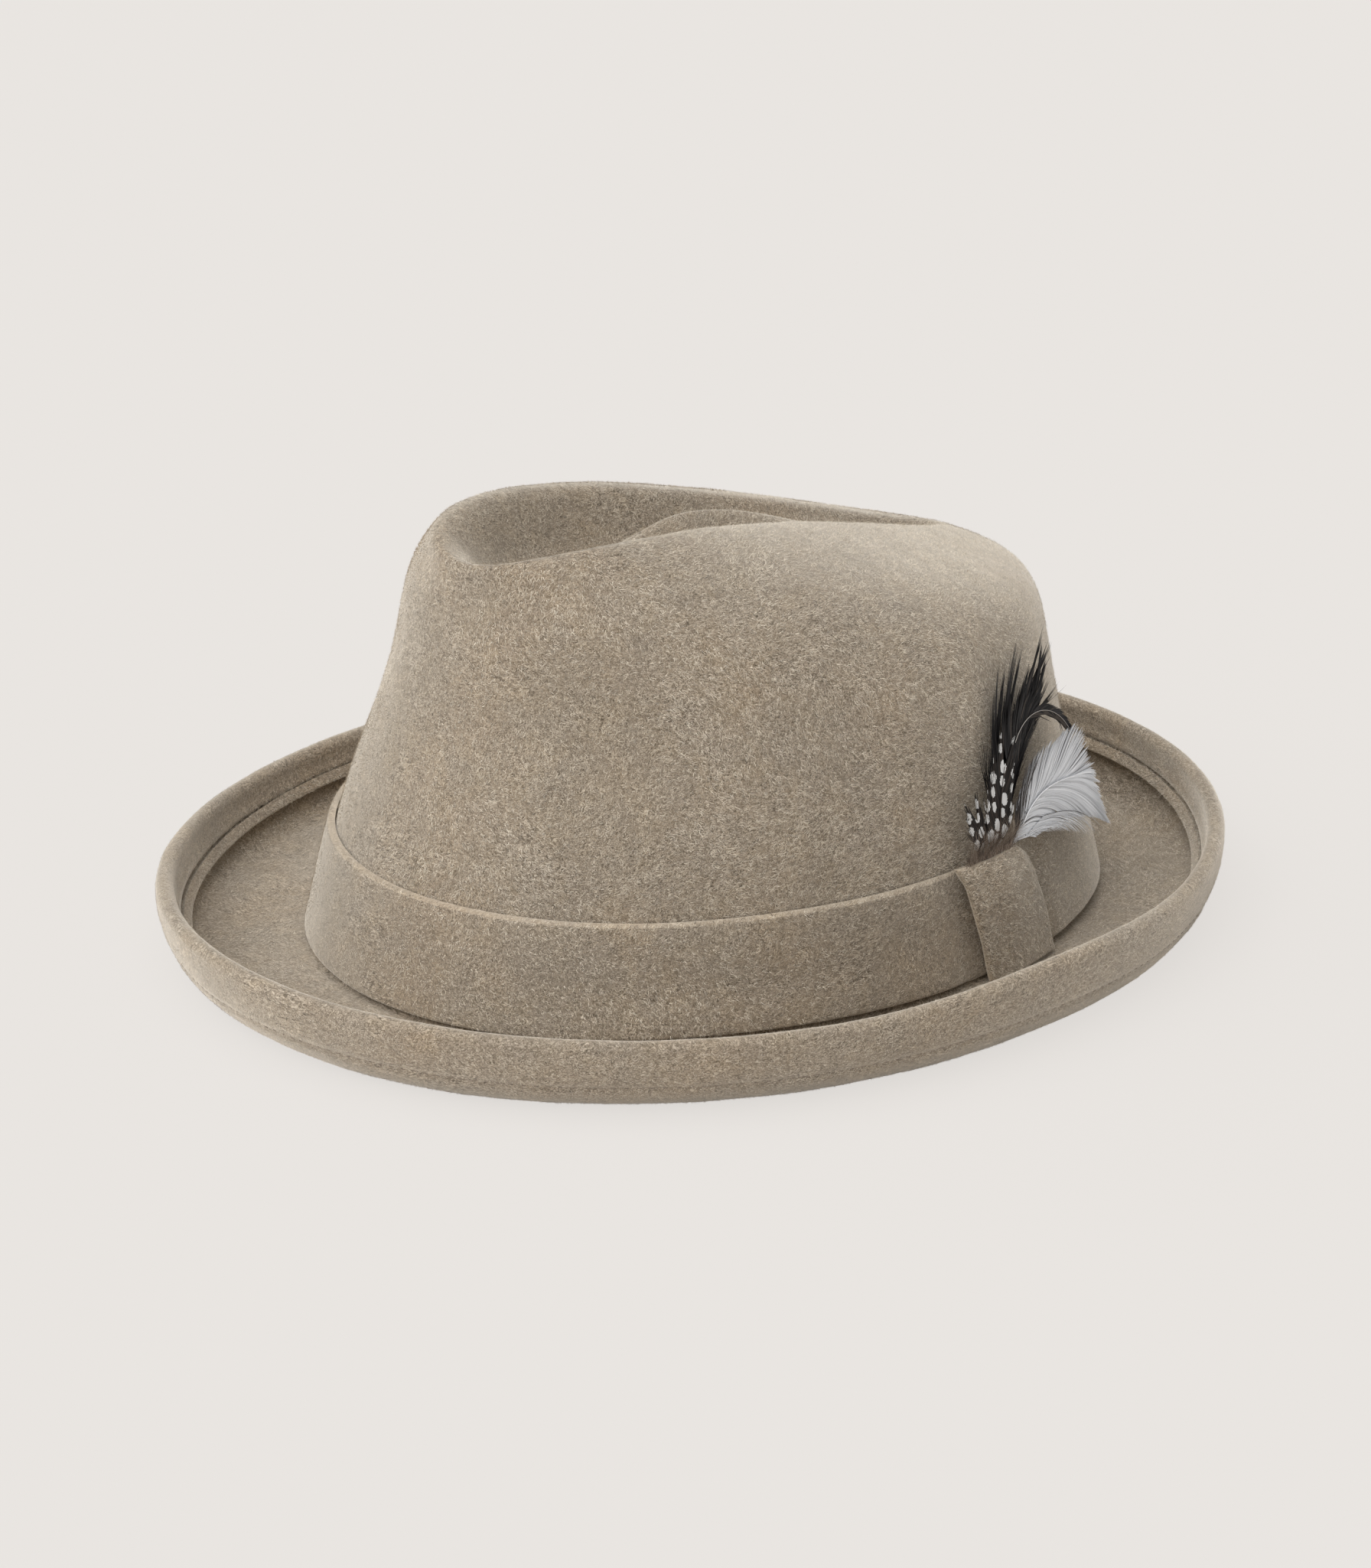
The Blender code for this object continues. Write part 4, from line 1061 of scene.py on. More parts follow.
# (along, up) points of the white feather
WHITE_SPINE = ((2.0, 0.5), (7.0, 9.5), (16.0, 12.5), (28.5, 10.5))
TOP_EDGE = (
    (5.0, 11.0), (8.9, 14.5), (13.0, 18.0), (17.5, 20.2), (23.0, 20.6), (29.0, 21.9),
    (33.0, 22.0), (35.2, 20.4), (35.6, 17.0), (36.9, 14.1), (37.2, 10.2))
LOW_EDGE = (
    (37.2, 10.2), (37.9, 5.0), (38.7, 1.0), (40.4, -4.9), (36.4, -2.4), (31.5, -0.4),
    (25.9, 0.9), (20.0, 1.4), (14.0, 1.3), (9.0, 1.0))
STRAND_ROOTS = ((3.0, 2.0), (4.5, 6.0), (7.0, 10.0))
STRAND_ENDS = ((8.0, 16.0), (11.0, 19.0), (14.5, 20.8), (18.5, 21.2))
WHISK_ROOTS = ((3.0, 1.2), (8.0, 3.5), (14.0, 5.0))
WHISK_ENDS = ((16.0, 1.0), (21.0, -0.9), (25.5, -2.7), (30.0, -4.4), (33.5, -4.0))


def along_line(points, at):
    """The point at a share of a polyline's length."""
    points = np.array(points, float)
    run = np.concatenate([[0], np.cumsum(np.linalg.norm(np.diff(points, axis=0), axis=1))])
    run /= run[-1]
    return np.array([np.interp(at, run, points[:, axis]) for axis in (0, 1)])


def fan(spine, outline, bow, layer, count, seed, width, sag, roots=(0.0, 1.0), clump=7,
        ragged=0.8, lead=0.45, run_on=1.0):
    """Barbs from a spine to an outline.

    bow is the (first, last) sideways arch as a share of the length, roots the part of the spine
    they leave, lead how long they follow it, run_on -1 if they follow it backwards."""
    rng = np.random.default_rng(seed)
    groups = rng.normal(size=count // clump + 2)
    share = np.linspace(0, 1, 12)
    parts, info = [], []
    for k in range(count):
        place = (k + 0.5 * rng.random()) / count
        at = roots[0] + (roots[1] - roots[0]) * place
        root = bezier(spine, at)[0]
        ahead = run_on * unit(bezier(spine, min(at + 0.03, 1.03))[0] - root)
        inside = (k % clump) / clump - 0.5
        group = groups[k // clump]
        target = place + 0.012 * group - inside * 0.35 * clump / count
        end = along_line(outline, np.clip(target, 0, 1))
        size = np.linalg.norm(end - root)
        uneven = 0.7 * group + 0.5 * rng.normal() - 0.9 * abs(inside)
        end = end + (end - root) / size * ragged * uneven
        chord = end - root
        arch = bow[0] + (bow[1] - bow[0]) * place + 0.012 * rng.normal()
        leaving = root + lead * (0.5 * size * ahead + 0.5 * chord)
        arriving = root + 0.66 * chord + np.array([-chord[1], chord[0]]) * arch
        line = bezier([root, leaving, arriving, end], share)
        out = layer + sag * share ** 2 + 0.12 * rng.normal() * share + 0.05 * rng.normal()
        half = 0.5 * width * np.maximum(1 - 0.9 * share ** 4, 0.06) * (0.8 + 0.4 * rng.random())
        heading = unit(np.gradient(line, axis=0)).T
        parts.append(blade(line[:, 0], line[:, 1], out, heading, half))
        info.append(np.stack(np.broadcast_arrays(place, rng.random(), middles(share))))
    return *join_parts(parts), dict(zip(("spine", "draw", "barb"), np.concatenate(info, axis=1)))


def pale_slots(info, smoke=0.0):
    slots = np.where(info["draw"] < 0.55, 0, np.where(info["draw"] < 0.8, 1, 2))
    return np.where(info["draw"] * 7919.0 % 1.0 < smoke, SMOKE, slots)


def build_white_fan():
    parts = []
    # above and below the spine: a broader, plainer layer beneath, then the fine barbs
    for layer, width, count, seed in ((2.35, 0.62, 150, 168), (2.75, 0.27, 420, 68)):
        verts, faces, info = fan(WHITE_SPINE, TOP_EDGE, (0.10, -0.02), layer, count, seed,
                                 roots=(0.05, 0.97), width=width, sag=0.3)
        spine, draw = info["spine"], info["draw"]
        slots = pale_slots(info) if width < 0.5 else np.full(len(draw), 1)
        smoky = (spine < 0.30) & (draw > 0.10 + 2.4 * spine)
        slots[smoky & (info["barb"] < 0.55 + 0.7 * draw)] = SMOKE
        parts.append((verts, faces, slots))
    for layer, width, count, seed in ((2.75, 0.60, 170, 169), (3.15, 0.28, 560, 69)):
        verts, faces, info = fan(WHITE_SPINE[::-1], LOW_EDGE, (0.10, 0.20), layer, count, seed,
                                 roots=(0.03, 0.98), width=width, clump=10, sag=0.5, lead=0.5,
                                 ragged=0.6, run_on=-1.0)
        slots = pale_slots(info) if width < 0.5 else np.full(len(info["draw"]), 0)
        slots[(info["spine"] > 0.7) & (info["draw"] > 0.93)] = SMOKE
        parts.append((verts, faces, slots))
    # fine dark strands over the root of the fan
    verts, faces, info = fan(STRAND_ROOTS, STRAND_ENDS, (0.08, 0.03), 3.3, 76, 171,
                             width=0.13, clump=4, ragged=2.4, sag=0.5)
    parts.append((verts, faces, np.where(info["draw"] < 0.75, SMOKE, 1)))
    # loose whisks that hang over the top edge of the band
    verts, faces, info = fan(WHISK_ROOTS, WHISK_ENDS, (0.16, 0.20), 3.7, 80, 70,
                             width=0.14, clump=4, ragged=2.4, sag=0.5)
    parts.append((verts, faces, pale_slots(info, smoke=0.12)))
    parts.append((*shaft(WHITE_SPINE, 3.35, base=0.17, tip=0.06, lift=0.3), 2))
    feather("white_fan_feather", parts, WHITES, "feather_white", "feather_white")


build_white_fan()

SPECK = palette(
    "guinea_",
    ("dark", (0.010, 0.008, 0.007), 0.5, 0.0, 0.2),
    ("brown", (0.034, 0.023, 0.017), 0.55, 0.0, 0.25),
    ("spot", (0.74, 0.735, 0.72), 0.6, 0.0, 0.3),
    ("grey", (0.16, 0.14, 0.125), 0.6, 0.0, 0.3))
SPOT_CENTRE = (-7.0, -16.0)     # the spots fan out from here, below the band's top edge
SPOT_LANE, SPOT_ROW = 0.122, 3.8        # pitch of the spots, radians and mm


def spot_field(along, up):
    """True inside the oval spots, which stand in staggered rows."""
    aside, above = along - SPOT_CENTRE[0], up - SPOT_CENTRE[1]
    radius, turn = np.hypot(aside, above), np.arctan2(aside, above)
    lane = np.floor(turn / SPOT_LANE)
    stagger = np.where(lane % 2 == 0, 0.0, 0.5)
    row = np.floor(radius / SPOT_ROW + stagger)
    chance = np.sin(lane * 12.9898 + row * 78.233) * 43758.5453
    chance = chance - np.floor(chance)
    across = (turn - (lane + 0.5 + 0.25 * (chance - 0.5)) * SPOT_LANE) * radius
    outward = radius - (row + 0.5 - stagger + 0.22 * (0.5 - chance)) * SPOT_ROW
    size = 0.82 + 0.34 * chance
    return (across / (1.02 * size)) ** 2 + (outward / (1.42 * size)) ** 2 < 1.0


def build_guinea(name, node, spine, layer, count, seed, side):
    """A spotted feather; side is its length, angle and their gains, alike on both sides."""
    side = linear_side(*side, 0.7, 0.25)
    verts, faces, info = barbs(
        spine, layer, count, {1: side, -1: side}, start=0.0, seed=seed, clump=9,
        clump_turn=1.4, jitter=0.5, width=0.27, thin=0.75, taper=4.0, steps=30, wild=0.015,
        lift=0.3)
    spot = spot_field(info["along"], info["up"]) & (info["barb"] < 0.93)
    slots = np.where(spot, 2, np.where(info["draw"] > 0.72, 1, 0))
    quill = shaft(spine, layer + 0.2, base=0.20, tip=0.07, lift=0.3)
    feather(name, [(verts, faces, slots), (*quill, 1)], SPECK, "feather_guinea", node)


build_guinea("guinea_feather_front", "feather_guinea_a", ((-6.0, 1.0), (-4.0, 11), (0.5, 21)),
             layer=3.5, count=220, seed=71, side=(11.5, -3.5, 42, -16))
build_guinea("guinea_feather_side", "feather_guinea_b",
             ((-8.5, 1.0), (-11.5, 7), (-12.5, 11)),
             layer=3.1, count=120, seed=72, side=(8.0, -1.5, 40, -14))

DOWN = palette(
    "down_",
    ("brown", (0.21, 0.148, 0.108), 0.8, 0.2),
    ("dark", (0.055, 0.038, 0.030), 0.8, 0.1),
    ("pale", (0.40, 0.325, 0.26), 0.8, 0.2))


def build_fluff():
    """Brown fluff at the foot of the feathers."""
    rng = np.random.default_rng(73)
    share = np.linspace(0, 1, 7)
    parts = []
    for _ in range(680):
        foot = -16.0 + 18.5 * rng.random()
        head = math.radians(92 + 30 * rng.normal() - 1.5 * (foot + 8))
        size = 3.0 + 7.0 * rng.random() ** 1.4
        heading = head + math.radians(40 * rng.normal()) * share
        run = walked(heading, size)
        up = np.maximum(0.2 + 1.4 * rng.random() + run[1], 0.3)
        out = 3.3 + 1.2 * rng.random() + 0.42 * share * rng.normal() + 0.8 * share ** 2
        verts, faces = blade(foot + run[0], up, out, (np.cos(heading), np.sin(heading)),
                             half=0.055 * (1 - 0.8 * share))
        parts.append((verts, faces, rng.choice(3, p=(0.48, 0.24, 0.28))))
    feather("brown_fluff", parts, DOWN, "feather_down", "feather_brown_down")


build_fluff()

# ------------------------------------------------------------------ inside fittings
REED, LINING_TOP = 0.8, 64.0


def leather_material(name, dark, light):
    leather = Surface(name)
    cells = leather.node("TexVoronoi", {"feature": "DISTANCE_TO_EDGE"}, Scale=1300,
                         Vector=leather.place).outputs["Distance"]
    grain = leather.ramp(cells, (0.0, BLACK), (0.22, WHITE))
    clouds = leather.noise(scale=90, detail=5, rough=0.6, distortion=0.4)
    tone = leather.ramp(clouds, (0.36, dark), (0.64, light))
    creases = leather.ramp(cells, (0.0, (0.72, 0.70, 0.68)), (0.12, WHITE))
    shine = leather.spread(leather.noise(scale=240), To_Min=0.36, To_Max=0.58)
    return leather.finish(grain, strength=0.45, distance=0.00012, Roughness=shine,
                          Base_Color=leather.mix(tone, creases))


def ribbon_material(name, dark, light, ribs):
    """Grosgrain: ribs across the ribbon over a fine weave; ribs counts them round the hat."""
    ribbon = Surface(name, Roughness=0.62, Sheen_Weight=0.3)
    parts = ribbon.node("SeparateXYZ", Vector=ribbon.place)
    turn = ribbon.math("ARCTAN2", parts.outputs["X"], parts.outputs["Y"])
    wave = ribbon.math("SINE", ribbon.math("MULTIPLY", turn, ribs))
    level = ribbon.spread(wave, From_Min=-1.0)
    tone = ribbon.ramp(level, (0.0, dark), (0.8, light))
    weave = ribbon.noise(scale=2600, detail=2)
    cloth = ribbon.ramp(weave, (0.35, (0.8, 0.8, 0.8)), (0.65, (1.15, 1.15, 1.15)))
    return ribbon.finish(level, strength=0.6, distance=0.00015,
                         Base_Color=ribbon.mix(tone, cloth))


def satin_material(name, dark, light):
    satin = Surface(name, Roughness=0.32, Anisotropic=0.5, Sheen_Weight=0.5,
                    Sheen_Roughness=0.3)
    upright = satin.mapped(scale=(1.0, 1.0, 0.08))
    threads = satin.noise(scale=3200, detail=2, rough=0.5, vector=upright)
    tone = satin.ramp(satin.noise(scale=55, rough=0.5), (0.35, dark), (0.65, light))
    fine = satin.ramp(threads, (0.35, (0.86, 0.86, 0.86)), (0.65, (1.1, 1.1, 1.1)))
    return satin.finish(threads, strength=0.25, distance=0.00006,
                        Base_Color=satin.mix(tone, fine))


def reed_material():
    reed = Surface("reed_milky_plastic", Roughness=0.34, Subsurface_Weight=0.1)
    tone = reed.ramp(reed.noise(scale=160), (0.35, (0.70, 0.67, 0.60)),
                     (0.65, (0.79, 0.765, 0.70)))
    return reed.finish(Base_Color=tone)


def film_material():
    film = Surface("clear_film_patch", Base_Color=(0.93, 0.93, 0.92, 1), Alpha=0.2, IOR=1.45)
    ripple = film.noise(scale=120)
    return film.finish(ripple, strength=0.15, distance=0.0004,
                       Roughness=film.spread(ripple, To_Min=0.05, To_Max=0.16))


def paper_material():
    paper = Surface("tab_paper_cream", Roughness=0.75)
    fibre = paper.noise(scale=1900, detail=4, rough=0.7)
    tone = paper.ramp(fibre, (0.35, (0.73, 0.70, 0.63)), (0.65, (0.83, 0.81, 0.76)))
    return paper.finish(fibre, strength=0.3, distance=0.00005, Base_Color=tone)


LEATHER = leather_material("sweatband_calf", dark=(0.185, 0.092, 0.046),
                           light=(0.27, 0.148, 0.078))
LEATHER_EDGE = leather_material("sweatband_cut_edge", dark=(0.12, 0.06, 0.032),
                                light=(0.17, 0.09, 0.05))
RIBBON = ribbon_material("ribbon_dark_brown", dark=(0.055, 0.036, 0.026),
                         light=(0.125, 0.088, 0.064), ribs=720)
SATIN = satin_material("satin_champagne", dark=(0.37, 0.295, 0.215),
                       light=(0.47, 0.385, 0.285))


def inside_grid(levels, angle, insets):
    """Rings inside the felt, one inset (a number, or one per angle) for each level."""
    return np.stack([ring_at(level, angle, -FELT - inset)
                     for level, inset in zip(levels, insets)])


def tube_loop(ring, radius, sides, twist=0, depth=0.0):
    """A closed cord along a ring; twist gives it that many turns of a two-ply lay."""
    around = np.linspace(0, 2 * math.pi, sides, endpoint=False)
    spin = np.linspace(0, 2 * math.pi * twist, len(ring), endpoint=False)[:, None]
    size = radius * (1 - depth * (0.5 + 0.5 * np.cos(2 * (around[None] - spin))))[..., None]
    grid = tube(ring, np.roll(ring, -1, 0) - np.roll(ring, 1, 0), [0, 0, 1.0], size, sides)
    last = (len(ring) - 1) * sides
    j = np.arange(sides)
    after = (j + 1) % sides
    join = np.stack([last + j, last + after, after, j], -1)
    return grid.reshape(-1, 3), np.concatenate([grid_faces(len(ring), sides, True), join])


def build_sweatband():
    """Leather strip with two creases under its slightly wavy free edge."""
    seam = math.radians(0.35)
    angle = np.linspace(-math.pi + seam, math.pi - seam, 481)
    levels = np.concatenate([np.linspace(1.6, 29.0, 20), np.linspace(29.4, 32.6, 17),
                             [33.2, 33.8, 34.2, 34.45]])
    probe = round_probe(100, angle)
    # rows up the strip: inset and level of the face, then of the back
    rows = []
    for turn in np.radians(np.linspace(155, 375, 12)):      # lower edge, turned round the reed
        rows.append((1.9 + 1.08 * math.cos(turn), -1.0 + 1.08 * math.sin(turn),
                     1.9 + 0.84 * math.cos(turn), -1.0 + 0.84 * math.sin(turn)))
    rows += [(2.70, -0.1, 2.2, -0.05), (2.48, 0.6, 1.6, 0.6)]
    for level in levels:
        free = smooth_step((level - 22.0) / 12.5)
        sway = (free * (0.45 + 0.40 * noise(probe, 24.0, 81))
                + 0.05 * noise(probe + [0, 0, level], 7.0, 82))
        sway = np.maximum(sway, 0.0)
        crease = 0.16 * (bell((level - 30.2) / 0.32) + bell((level - 31.8) / 0.32))
        pull = 0.35 * (level > 33.9) + 0.12 * (33.3 < level < 33.9)
        rows.append((2.4 + sway - crease - pull, level, 1.42 + sway + pull * 0.4, level))
    face_insets, face_levels, back_insets, back_levels = zip(*rows)
    thick_sheet("sweatband_leather_strip", inside_grid(back_levels, angle, back_insets),
                inside_grid(face_levels, angle, face_insets), False, [LEATHER, LEATHER_EDGE],
                "sweatband_leather", "sweatband_leather", edge_rows=2)


def build_sweatband_trim():
    """Ribbed tape behind the sweatband's foot, the reed in its fold, and its stitches."""
    angle = angles(480)
    levels = np.linspace(-1.4, 7.0, 12)
    insets = [0.68 + 0.05 * noise(round_probe(90, angle, level), 6.0, 83) for level in levels]
    thick_sheet("sweatband_tape_ribbed", inside_grid(levels, angle, [0.32] * 12),
                inside_grid(levels, angle, insets), True, [RIBBON, RIBBON], "inner_tape",
                "sweatband_tape", edge_rows=1)
    reed = tube_loop(ring_at(BAND_LEVEL, angles(360), -FELT - 1.9, -1.0), REED, 12)
    piece("sweatband_reed_loop", *reed, [reed_material()], "reed_plastic", "sweatband_reed")
    ring = ring_at(3.5, angle, -FELT - 2.42)
    inward = unit(ring_at(3.5, angle, -FELT - 3.42) - ring)
    stitches = stitch_run(ring, inward, True, spacing=3.2, length=2.3, radius=0.2, sunk=-0.06,
                          seed=84)
    thread = thread_material("thread_sweatband", dark=(0.20, 0.13, 0.08),
                             light=(0.34, 0.24, 0.16))
    piece("sweatband_stitches", *stitches, [thread], "stitch_thread", "sweatband_stitch_thread")


def ribbon_path(x, depth, half_width, thick):
    """A ribbon swept along points in the bow's plane."""
    centre = np.stack([x, depth], -1)
    ahead = unit(np.gradient(centre, axis=0))
    normal = np.stack([-ahead[:, 1], ahead[:, 0]], -1)
    rows = []
    for side in (1, -1):
        line = centre + normal * thick * 0.5 * side
        for z in np.linspace(-side, side, 9):
            rows.append(np.stack([line[:, 0], line[:, 1], z * half_width], -1))
    grid = np.stack(rows, 1)
    return grid.reshape(-1, 3), grid_faces(*grid.shape[:2], True)


def build_bow():
    """Two loops, two tails and a knot of ribbon, against the sweatband at the back."""
    parts = []
    for side in (-1, 1):
        share = np.linspace(0, 1, 40)
        swell = np.sin(math.pi * share)
        x = side * (0.8 + 8.4 * swell ** 0.9 * (1 - 0.12 * share))
        depth = 1.15 * np.sin(2 * math.pi * share) * swell + 0.2
        # the sine at the last station may round to just off zero, on either side of it
        parts.append(ribbon_path(x, depth, 2.2 + 1.5 * swell ** 0.8, 0.28))
        share = np.linspace(0, 1, 26)
        verts, faces = ribbon_path(side * (0.6 + 9.6 * share), -0.75 + 0.35 * np.sin(5 * share),
                                   2.0 + 0.9 * share, 0.24)
        verts[:, 2] -= 2.6 * (np.abs(verts[:, 0]) / 10.2) ** 1.4
        parts.append((verts, faces))
    turn = np.linspace(0, 2 * math.pi, 30)
    parts.append(ribbon_path(1.35 * np.cos(turn), 1.25 * np.sin(turn) + 0.1, 2.3 + 0 * turn,
                             0.3))
    verts, faces = join_parts(parts)
    centre = ring_at(12.0, np.array([math.pi]), -FELT - 4.5)[0]
    lean = math.radians(11)
    inward = np.array([0, -math.cos(lean), -math.sin(lean)])
    upward = np.array([0, -math.sin(lean), math.cos(lean)])
    verts = (centre + verts[:, :1] * np.array([1.0, 0, 0]) + verts[:, 1:2] * inward
             + verts[:, 2:3] * upward)
    piece("sweatband_ribbon_bow", verts, faces, [RIBBON], "inner_tape", "sweatband_bow",
          sharp=50)


def build_lining_side(angle):
    """Pleated satin, with deeper folds low down."""
    levels = np.linspace(37.5, LINING_TOP - 1.6, 26)
    insets = []
    for level in levels:
        low = 1 - smooth_step((level - 40.0) / 22.0)
        probe = round_probe(90, angle, 0.25 * level)
        folds = ((0.30 + 0.35 * low) * np.sin(54 * angle + 2.0 * noise(probe, 30.0, 91))
                 + 0.3 * low * noise(probe, 11.0, 92))
        insets.append(1.95 + np.maximum(folds, -0.5))
    outer, inner = (inside_grid(levels, angle, [inset + step for inset in insets])
                    for step in (-0.12, 0.12))
    thick_sheet("lining_side_satin", outer, inner, True, [SATIN, SATIN], "lining_satin",
                "lining_side", edge_rows=1)


def build_lining_tip(angle, tip_y):
    """Satin across the top, gathered towards its edge round a slit along the middle."""
    edge = ring_at(LINING_TOP, angle, -FELT - 3.3)
    middle = np.column_stack([0.3 * np.sin(angle), tip_y - 24 * np.cos(angle)])
    top, low = [], []
    for share in np.concatenate([np.linspace(0, 0.9, 26), [0.93, 0.96, 0.98, 1.0]]):
        flat = middle * (1 - share) + edge[:, :2] * share
        probe = np.column_stack([flat, 0 * angle])
        gather = (0.32 * smooth_step((share - 0.55) / 0.45)
                  * np.sin(90 * angle + 1.5 * noise(probe, 20.0, 93)))
        z = (LINING_TOP - 1.25 - 2.0 * (1 - share ** 2) + gather
             + 0.22 * noise(probe, 18.0, 94) * (1 - share ** 6))
        top.append(np.column_stack([flat, z + 0.1]))
        low.append(np.column_stack([flat, z - 0.1]))
    rows, count = len(top), len(angle)
    start = rows * count
    last = start - count
    j = np.arange(count)
    after = (j + 1) % count
    cap = slit_cap(count)
    faces = np.concatenate([
        grid_faces(rows, count, True),
        grid_faces(rows, count, True, start, flip=True),
        np.stack([last + j, last + after, start + last + after, start + last + j], -1),
        cap,
        cap[:, ::-1] + start,
    ])
    piece("lining_tip_satin", np.concatenate(top + low), faces, [SATIN], "lining_satin",
          "lining_tip")


def build_piping():
    cord = tube_loop(ring_at(LINING_TOP, angles(1440), -FELT - 2.1), 0.62, 10, twist=260,
                     depth=0.28)
    satin = satin_material("satin_cord", dark=(0.33, 0.26, 0.185), light=(0.46, 0.375, 0.28))
    piece("lining_piping_cord", *cord, [satin], "lining_satin", "lining_piping")


def build_film(tip_y):
    """Clear lozenge with bowed sides under the lining's tip, with a raised lip."""
    half_wide, half_long, corner, drop = 27, 36, 1.25, 4.05
    around = np.linspace(0, 2 * math.pi, 160, endpoint=False)
    reach = np.abs(np.cos(around)) ** corner + np.abs(np.sin(around)) ** corner
    reach = reach ** (-1 / corner)
    top, low = [], []
    for share in (0.002, 0.3, 0.6, 0.8, 0.9, 0.93, 0.96, 0.985, 1.0):
        half = 0.12 + 0.10 * (0.92 < share < 0.99)
        x = half_wide * reach * np.cos(around) * share
        y = half_long * reach * np.sin(around) * share + tip_y
        z = LINING_TOP - drop - 0.075 * np.cos(share * math.pi / 2) + 0 * around
        top.append(np.column_stack([x, y, z + half]))
        low.append(np.column_stack([x, y, z - half]))
    # the second of the two slots is spare
    thick_sheet("lining_clear_patch", np.stack(top), np.stack(low), True,
                [film_material(), film_material()], "clear_patch", "lining_tip_patch")


def build_tab():
    """Small paper tab on the sweatband, with its foot curled inwards."""
    angle_mid, level = math.radians(-155), 20.0
    across = np.linspace(-4.5, 4.5, 15)
    angle = angle_mid + across / 92.0
    corner = np.maximum(0, np.abs(across) - 3.7) ** 2 * 0.5
    front_rows, back_rows = [], []
    for rise in np.linspace(-5.5, 5.5, 15):
        z = level + rise * (1 - 0.05 * corner if abs(rise) > 5.0 else 1.0)
        curl = 0.35 * smooth_step((-rise - 2.5) / 3.0)
        front_rows.append(ring_at(level + rise, angle, -FELT - 3.55 - curl, z))
        back_rows.append(ring_at(level + rise, angle, -FELT - 3.33 - curl, z))
    # the second of the two slots is spare
    thick_sheet("size_tab_paper_blank", np.stack(back_rows), np.stack(front_rows), False,
                [paper_material(), paper_material()], "size_tab_paper", "size_tab")


build_sweatband()
build_sweatband_trim()
build_bow()
lining_angle = angles(720)
lining_fore, lining_rear = wall_section(LINING_TOP, np.array([0.0, math.pi]))
lining_y = (lining_rear[1] + lining_fore[1]) / 2
build_lining_side(lining_angle)
build_lining_tip(lining_angle, lining_y)
build_piping()
build_film(lining_y)
build_tab()

# ------------------------------------------------------------------ behind the keeper
# each quill: along at its foot, (along, up) of its head
QUILLS = ((-3.9, (-8.5, 1.0)), (-2.6, (-6.0, 1.0)), (-1.3, (-2.5, 3.0)), (0.0, (-1.0, 3.0)),
          (1.3, (0.0, 3.0)), (2.6, (3.0, 4.0)), (3.9, (3.0, 7.0)))
# rows of tacking: distance out, seed
TACKS = ((0.75, 102), (1.1, 106), (1.45, 109))


def build_quills():
    """Bare quills and a thread coiled in 24 turns."""
    quills = join_parts([
        shaft(((foot, -16.8), (foot, -10.0), (foot * 1.1, -4.0), head), 2.35, base=0.46,
              tip=0.26, stations=22)
        for foot, head in QUILLS])
    turn = np.linspace(0, 2 * math.pi * 24, 24 * 26)
    centre = flat_point(5.0 * np.cos(turn), -14.5 + 11.0 * turn / turn[-1],
                        1.1 + 0.52 * np.sin(turn))
    grid = tube(centre, np.gradient(centre, axis=0), UPSLOPE, 0.13, 6)
    coil = grid.reshape(-1, 3), grid_faces(len(turn), 6, True)
    horn = thread_material("quill_horn", dark=(0.30, 0.25, 0.19), light=(0.48, 0.42, 0.34))
    feather("feather_quill_binding", [(*quills, 0), (*coil, 1)], [horn, THREAD],
            "stitch_thread", "feather_quill_wrap")


def build_tack():
    rows = []
    for out, seed in TACKS:
        up = -22.9 + 0.35 * np.sin(np.linspace(0, 9, 30) + 3 * out)
        path = flat_point(np.linspace(-3.0, 3.0, 30), up, out)
        rows.append(stitch_run(path, np.tile(OUTSLOPE, (30, 1)), False, spacing=1.5,
                               length=1.35, radius=0.16, sunk=0.0, seed=seed))
    piece("keeper_bar_tack", *join_parts(rows), [THREAD], "stitch_thread", "keeper_tack")


build_quills()
build_tack()

# ------------------------------------------------------------------ floor and world, metres
BACKDROP = (0.815, 0.784, 0.753, 1)
FLOOR_HALF, FLOOR_Z = 6.0, -0.0006
FLOOR_GLOW = (0.790, 0.761, 0.731, 1)
GLOW_SHARE = 0.9        # how much of the floor the camera sees as an even glow
WORLD_LIGHT = 0.49


def floor_material():
    floor = Surface("floor_pale", Roughness=0.9, Specular_IOR_Level=0.1)
    tone = floor.ramp(floor.noise(scale=3.0, detail=2), (0.3, (0.745, 0.714, 0.684)),
                      (0.7, (0.755, 0.724, 0.694)))
    floor.finish(Base_Color=tone)
    even = floor.node("Emission", Color=FLOOR_GLOW)
    seen = floor.node("LightPath").outputs["Is Camera Ray"]
    blend = floor.node("MixShader")
    sources = (floor.math("MULTIPLY", seen, GLOW_SHARE), floor.shader.outputs[0],
               even.outputs[0])
    for socket, source in zip(blend.inputs, sources):
        floor.put(socket, source)
    floor.fill(floor.tree.nodes["Material Output"], Surface=blend.outputs[0])
    return floor.material


def build_floor():
    mesh = bpy.data.meshes.new("floor")
    signs = ((-1, -1), (1, -1), (1, 1), (-1, 1))
    corners = [(x * FLOOR_HALF, y * FLOOR_HALF, FLOOR_Z) for x, y in signs]
    mesh.from_pydata(corners, [], [(0, 1, 2, 3)])
    obj = bpy.data.objects.new("floor", mesh)
    bpy.context.scene.collection.objects.link(obj)
    mesh.materials.append(floor_material())


